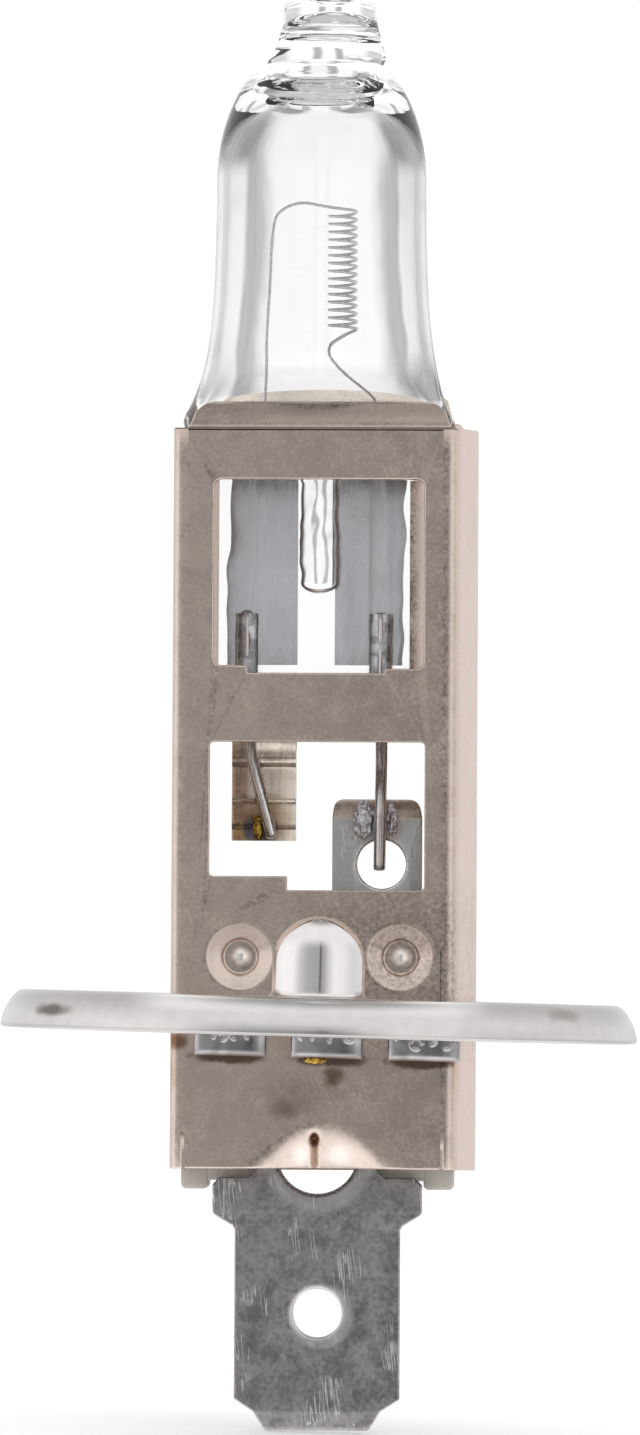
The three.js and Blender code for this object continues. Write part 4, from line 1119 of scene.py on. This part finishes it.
def upright_sheet(pairs, lows, highs):
    """A sheet with the given plan; it stands from its low to its high edge, and both are rounded."""
    body = Body()
    levels = [(0, 0, EDGE), (0, 0.3 * EDGE, 0.3 * EDGE), (0, EDGE, 0)]
    levels += [(part, 0, 0) for part in spread(0.05, 0.95, 7)]
    levels += [(1, -EDGE, 0), (1, -0.3 * EDGE, 0.3 * EDGE), (1, 0, EDGE)]
    faces = []
    for near, far in ((0, 1), (1, 0)):
        rows = []
        for up, shift, inset in levels:
            row = []
            for pair, low, high in zip(pairs, lows, highs):
                x, y = [lerp(a, b, inset / SHEET) for a, b in zip(pair[near], pair[far])]
                row.append((x, y, lerp(low, high, up) + shift))
            rows.append(row)
        faces.append(body.rows(rows, closed=False))
    join_rims(body, *faces)
    return body


def crimp_depth(x, z):
    """How far the front sheet is pushed in round the crimp: a short groove over a wide bowl."""
    u = x - CRIMP_X
    down = max(0, (-4.55 - z) / (-4.55 - SLEEVE_BOTTOM))
    groove = 0.3 * math.exp(-abs(u / 0.1) ** 1.8) * smoothstep(-z, 5.0, 5.3)
    pit = 0.25 * math.exp(-(u / 0.15) ** 2 - ((z + 5.3) / 0.18) ** 2)
    half = 0.45 + 1.35 * down ** 0.8
    arch = math.exp(-(abs(u - 0.35) / half) ** 3)
    bowl = 0.7 * down ** 1.7 * arch
    return groove + pit + bowl


def sleeve_foot():
    """The lowest part of the front sheet, with the crimp that grips the insulator."""
    body = Body()
    corner = EDGE * 0.3
    path = [(0, z) for z in spread(FOOT_TOP, SLEEVE_BOTTOM + EDGE, 44)]
    path += [(corner, SLEEVE_BOTTOM + corner), (EDGE, SLEEVE_BOTTOM)]
    path += [(SHEET - EDGE, SLEEVE_BOTTOM), (SHEET - corner, SLEEVE_BOTTOM + corner)]
    path += [(SHEET, z) for z in spread(SLEEVE_BOTTOM + EDGE, FOOT_TOP, 30)]
    across = spread(-FLAT_HALF, FLAT_HALF, 161)
    rows = [[(x, FRONT_Y + depth + crimp_depth(x, z), z) for x in across] for depth, z in path]
    body.rows(rows, closed=False)
    return body


def window(left, right, bottom, top, radius, left_ledge=None, right_ledge=None):
    """A clockwise window outline. A ledge (x, height) lifts the sill on its side of x."""
    step = 0.06
    right_foot = [(right, bottom, radius)]
    if right_ledge:
        x, height = right_ledge
        right_foot = [(right, bottom + height, radius), (x, bottom + height, step), (x, bottom, step)]
    left_foot = [(left, bottom, radius)]
    if left_ledge:
        x, height = left_ledge
        left_foot = [(x, bottom, step), (x, bottom + height, step), (left, bottom + height, radius)]
    return rounded([(left, top, radius), (right, top, radius), *right_foot, *left_foot])


def dimple(x, z):
    """A round pressed seat: a cone down to a round floor, which rises a little in its middle."""
    profile = [
        (DIMPLE_RADIUS + COLLAR, 0), (DIMPLE_RADIUS + 0.5 * COLLAR, 0), (DIMPLE_RADIUS + 0.01, 0),
        (1.21, 0.015), (1.15, 0.05), (1.07, 0.1), (0.98, 0.15), (0.88, 0.2), (0.78, 0.25), (0.71, 0.29),
        (0.68, 0.33), (0.66, 0.4), (0.63, 0.43), (0.56, 0.44), (0.46, 0.435), (0.36, 0.42), (0.26, 0.39),
        (0.17, 0.36), (0.1, 0.345), (1e-6, 0.34),
    ]
    body = Body()
    for face_y in (FRONT_Y, FRONT_Y + SHEET):
        body.rows([[(p.x, face_y + depth, p.y) for p in circle(x, z, radius)] for radius, depth in profile])
    return body


def lip(wall_middle_y, inward, top, rise, reach, crown):
    """The sleeve's collar: it leans in over the pinch, with rounded upper corners. The crown is how
    much lower its upper edge is at the corners than in the middle."""
    path = []
    widths = []
    corner = 0.5
    edge = top + rise
    parts = [0, 0.03, 0.07, 0.12, 0.2, 0.3, 0.42, 0.54, 0.64, 0.72, 0.79, 0.85, 0.9, 0.94, 0.97, 0.99, 1.0]
    for part in parts:
        z = lerp(top - LIP_OVERLAP, edge, part)
        ease = part * part / (part + 0.1) * 1.1
        path.append((wall_middle_y + inward * reach * ease, z))
        left = lerp(*LIP_LEFT, part)
        right = lerp(*LIP_RIGHT, part)
        below = edge - z
        if crown:
            middle = (left + right) / 2
            half = (right - left) / 2 * min(1, math.sqrt(below / crown) * 0.97 + 0.03)
            left, right = middle - half, middle + half
        elif below < corner:
            inset = corner - math.sqrt(max(corner ** 2 - (corner - below) ** 2, 0))
            left, right = left + inset, right - inset
        widths.append((left, right))
    return strip(path, widths, SHEET, 0.08, 3)


def rolled_edge(x, turn_in, low, high):
    """One side of the upper window, where the sheet is rolled in towards the pinch."""
    body = Body()
    outer = []
    inner = []
    for part in spread(0, 1, 13):
        across = turn_in * part
        back = abs(across)
        bulge = 0.042 * math.sin(math.pi * part)
        outer.append((x + across - math.copysign(bulge, turn_in), FRONT_Y + 0.03 + 0.95 * back - bulge))
        inner.append((x - math.copysign(0.05, turn_in) + across * 0.92, FRONT_Y + SHEET - 0.03 + 0.9 * back))
    outline = [*outer, *reversed(inner)]
    made = body.rows([[(px, py, z) for px, py in outline] for z in spread(low, high, 9)])
    body.faces += [tuple(made[0]), tuple(made[-1])]
    return body.outward()


def front_sleeve():
    """The front wall with its windows, dimples, crimped foot and lip, and both side walls."""
    upper = window(*UPPER_WINDOW, left_ledge=(-2.55, 0.28), right_ledge=(2.62, 0.17))
    lower = window(*LOWER_WINDOW, left_ledge=(-1.0, 0.52))
    outline = rectangle(-FLAT_HALF, FLAT_HALF, FOOT_TOP, SLEEVE_TOP - LIP_OVERLAP)
    holes = [upper, lower, *[circle(x, z, DIMPLE_RADIUS + COLLAR) for x, z in DIMPLES]]
    rolls = [(0.07, 0.07), (EDGE, EDGE), None, None]
    body = plate(outline, holes, SHEET, facing_front(FRONT_Y), rolls, None)
    body.add(sleeve_foot())
    for x, z in DIMPLES:
        body.add(dimple(x, z))
    for side in (-1, 1):
        pairs = wall_pairs(side)
        body.add(upright_sheet(pairs, *side_edges(pairs)))
    body.outward()
    body.add(lip(FRONT_Y + SHEET / 2, 1, SLEEVE_TOP, LIP_RISE, LIP_REACH, 0).outward())
    left, right, bottom, top, _ = UPPER_WINDOW
    body.add(rolled_edge(left - 0.02, 0.2, bottom + 0.12, top - 0.02))
    body.add(rolled_edge(right + 0.02, -0.56, bottom + 0.02, top - 0.02))
    body.finish("sleeve_front_sheet", "sleeve_front", "sleeve_nickel", SLEEVE_LOOK)


def tongue():
    """The spring tongue: it comes forward from the rear sheet and down, with a pressed ridge."""
    points = [
        (4.1, 10.85), (3.75, 10.55), (1.75, 10.4), (0.98, 10.12), (0.62, 9.62), (0.5, 9.2), (0.48, 9.05),
        (0.6, 8.86), (0.61, 8.2), (0.6, 7.52), (0.51, 7.38), (0.5, 7.0), (0.51, 6.6), (0.6, 6.46),
        (0.6, 5.97),
    ]
    line = smooth_line([(y, z, 0) for y, z in points], 4)
    return strip([(p.x, p.y) for p in line], [TONGUE] * len(line), 0.38)


def rear_sleeve():
    """The rear wall with its windows and lip, and two short flanges inside the side walls."""
    nest = SHEET + NEST_GAP
    flat_left = side_wall_x(-1, REAR_Y) + nest + BEND
    flat_right = side_wall_x(1, REAR_Y) - nest - BEND
    top = REAR_TOP - LIP_OVERLAP
    outline = rectangle(flat_left, flat_right, REAR_BOTTOM, top)
    holes = [window(*sizes) for sizes in REAR_WINDOWS]
    body = plate(outline, holes, SHEET, facing_rear(REAR_Y), [(EDGE, EDGE)] * 2, None)
    for side, flat in ((-1, flat_left), (1, flat_right)):
        pairs = bend_pairs(flat, side, REAR_Y, -1, 10)
        for y in spread(REAR_Y - BEND - 0.3, REAR_Y - REAR_FLANGE, 4):
            x = side_wall_x(side, y) - side * nest
            pairs.append(((x, y), (x - side * SHEET, y)))
        lows, highs = side_edges(pairs)
        highs[:9] = [lerp(top, highs[8], smoothstep(k, 3, 8)) for k in range(9)]
        body.add(upright_sheet(pairs, lows, highs))
    body.outward()
    body.add(lip(REAR_Y - SHEET / 2, -1, REAR_TOP, REAR_LIP_RISE, REAR_LIP_REACH, REAR_LIP_CROWN).outward())
    tongue().outward().finish("sleeve_tongue", "sleeve_rear", "sleeve_nickel", TONGUE_LOOK)
    body.finish("sleeve_rear_sheet", "sleeve_rear", "sleeve_nickel", SLEEVE_LOOK)


# ---- terminal and insulator ----


def terminal():
    """One flat plate from the pad down to the blade, with its tip coined and its pad's top bent back."""
    left = BLADE_X - BLADE_HALF
    right = BLADE_X + BLADE_HALF
    pad_top = 7.56
    stem_left = -2.23
    stem_right = 2.32
    shoulder_top = -6.87
    shoulder_left = -3.95
    shoulder_right = 4.04
    shoulder_bottom = -8.25
    taper = -15.28
    outline = rounded([
        (0.63, pad_top, 0.42), (0.55, 6.87), (0.55, -2.9), (stem_left, -2.9, 0.2), (stem_left, -6.55, 0.15),
        (-2.6, shoulder_top, 0.1), (-3.7, shoulder_top, 0.1), (shoulder_left, -7.15, 0.1),
        (shoulder_left, shoulder_bottom, 0.3), (left - 0.1, -8.7, 0.08), (left, -8.85, 0.08),
        (left, taper, 0.08), (BLADE_X - 2.42, BLADE_BEVEL, 0.1), (BLADE_X - 1.98, BLADE_TIP, 0.25),
        (BLADE_X + 1.98, BLADE_TIP, 0.25), (BLADE_X + 2.42, BLADE_BEVEL, 0.1), (right, taper, 0.08),
        (right, -8.85, 0.08), (right + 0.1, -8.7, 0.08), (shoulder_right, shoulder_bottom, 0.3),
        (shoulder_right, -7.15, 0.1), (3.77, shoulder_top, 0.1), (2.6, shoulder_top, 0.1),
        (stem_right, -6.55, 0.15), (stem_right, -4.4, 0.2), (3.97, -3.4, 0.2), (3.97, 6.87),
        (3.85, pad_top, 0.5),
    ])
    holes = [circle(*hole, 72) for hole in (BLADE_HOLE, LOCK_HOLE, PAD_HOLE)]
    rolls = [(0.3, 0.07), (0.34, 0.07), (0.1, 0.08)]
    body = plate(outline, holes, 2 * TERMINAL_HALF, facing_front(-TERMINAL_HALF), rolls, (0.07, 0.07))
    body.outward()
    body.split(BLADE_BEVEL)
    body.split(PAD_BEND)

    def shaped(p):
        coined = 0.28 * max(0, BLADE_BEVEL - p.z) / (BLADE_BEVEL - BLADE_TIP)
        leaned = 0.28 * max(0, p.z - PAD_BEND)
        return (p.x, p.y * (1 - coined) + leaned, p.z)

    body.bend(shaped)
    body.finish("terminal_plate", "terminal_blade", "terminal_tin", TERMINAL_LOOK)


def ceramic_block(half, bottom, corner, slot_top, near_y, far_y):
    """A ceramic block with rounded edges and a slot in its lower edge."""
    top = 3.6
    slot = 1.75
    outline = [
        (-half, top, 0.3), (-half, bottom, corner), (-slot, bottom), (-slot, slot_top, 0.4),
        (slot, slot_top, 0.4), (slot, bottom), (half, bottom, corner), (half, top, 0.3),
    ]
    return plate(rounded(outline), [], far_y - near_y, facing_front(near_y), [], (0.1, 0.1)).outward()


def insulators():
    """Two ceramic blocks round the terminal; the rear one has two feet that show below the sleeve."""
    gap = TERMINAL_HALF + 0.06
    body = ceramic_block(4.8, -7.0, 0.1, -5.6, gap, REAR_Y - SHEET - 0.15)
    for left, right in ((-5.2, -4.12), (4.07, 5.24)):
        foot = rounded([(left, -6.1), (left, -7.33, 0.25), (right, -7.33, 0.25), (right, -6.1)])
        body.add(plate(foot, [], 1.85 - gap, facing_front(gap - 0.02), [], (0.12, 0.12)).outward())
    body.finish("insulator_rear_block", "insulator_rear", "insulator_ceramic", CERAMIC_LOOK)
    body = ceramic_block(4.75, -6.2, 0.25, -4.2, FRONT_Y + SHEET + 0.4, -gap)
    body.finish("insulator_front_block", "insulator_front", "insulator_ceramic", CERAMIC_LOOK)


# ---- prefocus flange ----


def flange_disc():
    """The flat seat, open round the sleeve, and the rim that curves down round it."""
    gap = 0.3
    opening = rounded([
        (REAR_X - REAR_HALF - gap, REAR_Y + 0.05, 0.4), (REAR_X + REAR_HALF + gap, REAR_Y + 0.05, 0.4),
        (FRONT_HALF + gap, FRONT_Y - 0.05, 0.4), (-FRONT_HALF - gap, FRONT_Y - 0.05, 0.4),
    ])
    count = 180
    turns = [2 * math.pi * i / count for i in range(count)]
    spokes = [Vector((math.sin(t), -math.cos(t))) for t in turns]
    seat = [spoke * FLANGE_FLAT for spoke in spokes]
    body = plate(seat, [opening], FLANGE_SHEET, facing_up(0), [(0.12, 0.12)], None)
    profile = [
        (FLANGE_FLAT, 0), (11.42, -0.03), (11.55, -0.11), (11.68, -0.25), (11.79, -0.4), (11.89, -0.56),
        (11.97, -0.72), (12.04, -0.9), (12.09, -1.06), (12.12, -1.2), (FLANGE_RADIUS, -1.3),
        (12.12, -1.38), (12.05, -1.43), (11.9, -1.45), (11.76, -1.44), (11.68, -1.38), (11.66, -1.2),
        (11.63, -1.0), (11.58, -0.82), (11.5, -0.66), (11.38, -0.54), (FLANGE_FLAT, -FLANGE_SHEET),
    ]
    body.rows([[(*(spoke * radius), z) for spoke in spokes] for radius, z in profile])
    return body.outward()


def boss():
    """The pressed locating boss: an upright barrel front with a round top, open at the back."""
    body = Body()
    back = FRONT_Y - 0.06
    reach = math.radians(52)
    turns = spread(-reach, reach, 49)
    wall_top = BOSS_HEIGHT - BOSS_RADIUS
    outline = [(BOSS_RADIUS + 0.22, 0), (BOSS_RADIUS + 0.12, 0.03), (BOSS_RADIUS + 0.05, 0.09)]
    outline += [(BOSS_RADIUS, z) for z in (0.2, *spread(0.4, wall_top, 5))]
    outline += [(BOSS_RADIUS * cos, wall_top + BOSS_RADIUS * sin) for sin, cos in quarter_turns(18)[1:-1]]
    shells = []
    for size, drop in ((1, 0), (0.8, 0.3)):
        rows = []
        for radius, z in outline:
            arc = radius * size / math.sin(reach)
            ends_y = back + arc * math.cos(reach)
            rows.append([(BOSS_X + arc * math.sin(t), ends_y - arc * math.cos(t), z - drop) for t in turns])
        made = body.rows(rows, closed=False)
        tip = body.loop([(BOSS_X, back, BOSS_HEIGHT - 0.01 - drop)])
        body.faces += [(a, b, tip[0]) for a, b in zip(made[-1], made[-1][1:])]
        shells.append((made, tip))
    (outer, outer_tip), (inner, inner_tip) = shells
    for k in (0, -1):
        edge = [row[k] for row in outer] + outer_tip
        inside = [row[k] for row in inner] + inner_tip
        body.bridge(edge, inside, closed=False)
    body.bridge(outer[0], inner[0], closed=False)
    return body.outward()


def lug_marks(seed):
    """Rings, hooks and short bars that mean nothing: (centre, radius, start, sweep) of each arc."""
    marks = []
    for k in range(4):
        x = -0.85 + 0.56 * k + 0.12 * wobble((k, seed, 0), 1.7)
        z = -1.52 + 0.3 * wobble((seed, k, 1), 1.9)
        radius = 0.2 + 0.1 * wobble((k, 2, seed), 2.3)
        sweep = 3.6 + 3.0 * wobble((seed, 4, k), 1.1)
        marks.append((Vector((x, z)), radius, 9 * wobble((k, seed, 3), 1.3), sweep))
    return marks


def raised(point, marks):
    """How strongly the marks stand out at a point of the lug's face, from 0 to 1."""
    most = 0
    for centre, radius, start, sweep in marks:
        arm = point - centre
        turn = (math.atan2(arm.y, arm.x) - start) % (2 * math.pi)
        if turn < sweep:
            most = max(most, math.exp(-((arm.length - radius) / 0.045) ** 2))
    return most


def lug(x, wall_y, away, seed):
    """A bent-down tab with a soft, rounded face and stamped marks."""
    half = LUG_WIDTH / 2
    marks = lug_marks(seed)
    body = Body()
    rows = []
    for across in spread(-1, 1, 71):
        u = math.copysign(1 - (1 - abs(across)) ** 1.5, across)
        row = []
        for down in spread(0, 1, 51):
            v = 1 - (1 - down) ** 1.5
            z = lerp(-0.2, LUG_BOTTOM, v)
            narrowing = 0.3 * max(0, v - 0.72) ** 2
            pillow = (max(0, 1 - abs(u) ** 8) * max(0, 1 - v ** 18)) ** 0.4
            height = (LUG_THICKNESS - 0.09) * (1 - 0.12 * u * u - 0.1 * v * v)
            height += 0.06 * raised(Vector((u * half, z)), marks)
            row.append((x + u * (half - narrowing), wall_y + away * (0.03 + height * pillow), z))
        rows.append(row)
    backs = [[(px, wall_y + away * 0.02, z) for px, _, z in row] for row in rows]
    front = body.rows(rows, closed=False)
    back = body.rows(backs, closed=False)
    join_rims(body, front, back)
    return body.outward()


def flange():
    steel = ("prefocus_flange", "flange_steel")
    flange_disc().finish("flange_disc", *steel, FLANGE_LOOK, UPRIGHT, 50)
    boss().finish("flange_boss", *steel, FLANGE_LOOK, UPRIGHT, 50)
    for number, x in enumerate(LUGS, 1):
        front = lug(x, FRONT_Y - LUG_GAP, -1, number)
        front.finish(f"flange_lug_front_{number}", *steel, LUG_LOOK, UPRIGHT, 50)
        rear = lug(x, REAR_Y + LUG_GAP, 1, number + 4)
        rear.finish(f"flange_lug_rear_{number}", *steel, LUG_LOOK, UPRIGHT, 50)
    drop = nugget((0.06, FRONT_Y - 0.14, LUG_BOTTOM - 0.06), (0.42, 0.12, 0.13), 0.2, 21)
    drop.finish("flux_drop", "prefocus_flange", "weld_metal", FLUX_LOOK, UPRIGHT)


glass()
filament()
foil("left", FOIL_X[0])
foil("right", FOIL_X[1])
leads()
welds()
front_sleeve()
rear_sleeve()
terminal()
insulators()
flange()


# ---- studio ----

VIEW_TURN = 1.9  # degrees that the camera stands to the right of the front
CAMERA_DISTANCE = 0.28
CAMERA_HEIGHT = 0.0005
CAMERA_ROLL = 1.65  # degrees
AIM = Vector((-0.000295, 0, 0.01068))
DOME_RADIUS = 0.36
FLOOR_Z = CAD_BOX[0].z - 0.00002


def plain(name, colour, strength):
    """A dull stage surface that glows a little in its own colour."""
    material = bpy.data.materials.new(name)
    material.use_nodes = True
    shader = material.node_tree.nodes["Principled BSDF"]
    shader.inputs["Base Color"].default_value = (*colour, 1)
    shader.inputs["Roughness"].default_value = 0.9
    shader.inputs["Specular IOR Level"].default_value = 0.0
    shader.inputs["Emission Color"].default_value = (*colour, 1)
    shader.inputs["Emission Strength"].default_value = strength
    return material


def stage_mesh(name, points, faces, material):
    mesh = bpy.data.meshes.new(name)
    mesh.from_pydata(points, [], faces)
    mesh.materials.append(material)
    piece = bpy.data.objects.new(name, mesh)
    bpy.context.scene.collection.objects.link(piece)
    return piece


def floor():
    """The pale floor, just under the blade's tip."""
    size = 3.0
    corners = [(-size, -size, FLOOR_Z), (size, -size, FLOOR_Z), (size, size, FLOOR_Z), (-size, size, FLOOR_Z)]
    made = stage_mesh("floor", corners, [(0, 1, 2, 3)], plain("pale_floor", (0.93, 0.93, 0.93), 0.17))
    made.visible_glossy = False


def dome(name, middle_z, tone, reflected):
    """A glowing shell round the object, which only reflections or only refractions see. The tone
    function gives its grey for an azimuth (0 is the front) and an elevation in degrees."""
    points = []
    greys = []
    turns = range(-180, 181)
    lifts = range(-63, 90, 3)
    for elevation in lifts:
        for azimuth in turns:
            a = math.radians(azimuth)
            e = math.radians(elevation)
            flat = DOME_RADIUS * math.cos(e)
            points.append((flat * math.sin(a), -flat * math.cos(a), middle_z + DOME_RADIUS * math.sin(e)))
            greys.append(tone(azimuth, elevation))
    across = len(turns)
    faces = []
    for row in range(len(lifts) - 1):
        for k in range(across - 1):
            i = row * across + k
            faces.append((i, i + 1, i + across + 1, i + across))
    material = plain(name, (0, 0, 0), 1.0)
    made = stage_mesh(name, points, faces, material)
    tones = made.data.attributes.new("tone", "FLOAT_COLOR", "POINT")
    for i, grey in enumerate(greys):
        tones.data[i].color = (grey, grey, grey, 1)
    source = material.node_tree.nodes.new("ShaderNodeAttribute")
    source.attribute_name = "tone"
    shader = material.node_tree.nodes["Principled BSDF"]
    material.node_tree.links.new(source.outputs["Color"], shader.inputs["Emission Color"])
    made.visible_camera = False
    made.visible_diffuse = False
    made.visible_shadow = False
    made.visible_volume_scatter = False
    made.visible_glossy = reflected
    made.visible_transmission = not reflected


def between(stops, value):
    """The value of a line through (place, value) stops."""
    for (a, low), (b, high) in zip(stops, stops[1:]):
        if value <= b:
            return lerp(low, high, (value - a) / (b - a))
    return stops[-1][1]


def metal_tone(azimuth, elevation):
    """Dark in front, where the camera stands, between softer lights left and right."""
    level = [
        (-180, 0.92), (-110, 1.0), (-75, 1.2), (-52, 1.15), (-37, 0.75), (-23, 0.54), (-10, 0.5), (0, 0.48),
        (1.5, 0.14), (3.5, 0.14), (5.5, 0.46), (10, 0.5), (18, 0.78), (30, 1.1), (48, 1.05), (70, 0.85),
        (110, 0.95), (180, 0.92),
    ]
    front = between(level, azimuth)
    above = smoothstep(elevation, 16, 34)
    below = smoothstep(-elevation, 16, 42)
    tone = lerp(lerp(front, 1.03, above), 1.5, below)
    return lerp(tone, 0.42, smoothstep(elevation, 56, 80))


def glass_tone(azimuth, elevation):
    """White backdrops with grey edges in front, behind and at the sides, under a darker ceiling."""
    off = abs((azimuth - VIEW_TURN + 45) % 90 - 45)
    edge = smoothstep(off, 2.8, 5.4) * (1 - smoothstep(off, 8.4, 9.6))
    wall = lerp(1.03, 0.46, edge) * lerp(1, 0.66, smoothstep(off, 24, 34))
    roof = lerp(0.95, 0.24, smoothstep(off, 3.5, 8))
    roof = lerp(roof, 0.42, smoothstep(off, 20, 34))
    roof = lerp(roof, 0.55, smoothstep(elevation, 28, 50))
    return lerp(wall, roof, smoothstep(elevation, 4, 13)) * lerp(1, 0.75, smoothstep(-elevation, 18, 40))


def studio():
    """White all round, and inside it two shells: one for reflections in metal, one for the glass."""
    world = bpy.data.worlds.new("studio")
    world.use_nodes = True
    world.node_tree.nodes["Background"].inputs["Color"].default_value = (1, 1, 1, 1)
    world.node_tree.nodes["Background"].inputs["Strength"].default_value = 1.06
    world.cycles.sampling_method = "NONE"
    bpy.context.scene.world = world
    dome("metal_shell", 0.004, metal_tone, True)
    dome("glass_shell", 0.026, glass_tone, False)
    floor()


def camera():
    turn = math.radians(VIEW_TURN)
    data = bpy.data.cameras.new("camera")
    data.lens = 184.0
    data.sensor_width = 36.0
    data.clip_start = 0.01
    data.clip_end = 10.0
    made = bpy.data.objects.new("camera", data)
    bpy.context.scene.collection.objects.link(made)
    made.location = (CAMERA_DISTANCE * math.sin(turn), -CAMERA_DISTANCE * math.cos(turn), CAMERA_HEIGHT)
    facing = (AIM - made.location).to_track_quat("-Z", "Y").to_matrix().to_4x4()
    made.rotation_mode = "QUATERNION"
    made.rotation_quaternion = (facing @ Matrix.Rotation(math.radians(CAMERA_ROLL), 4, "Z")).to_quaternion()
    bpy.context.scene.camera = made


studio()
camera()
bpy.context.scene.view_settings.view_transform = "Standard"
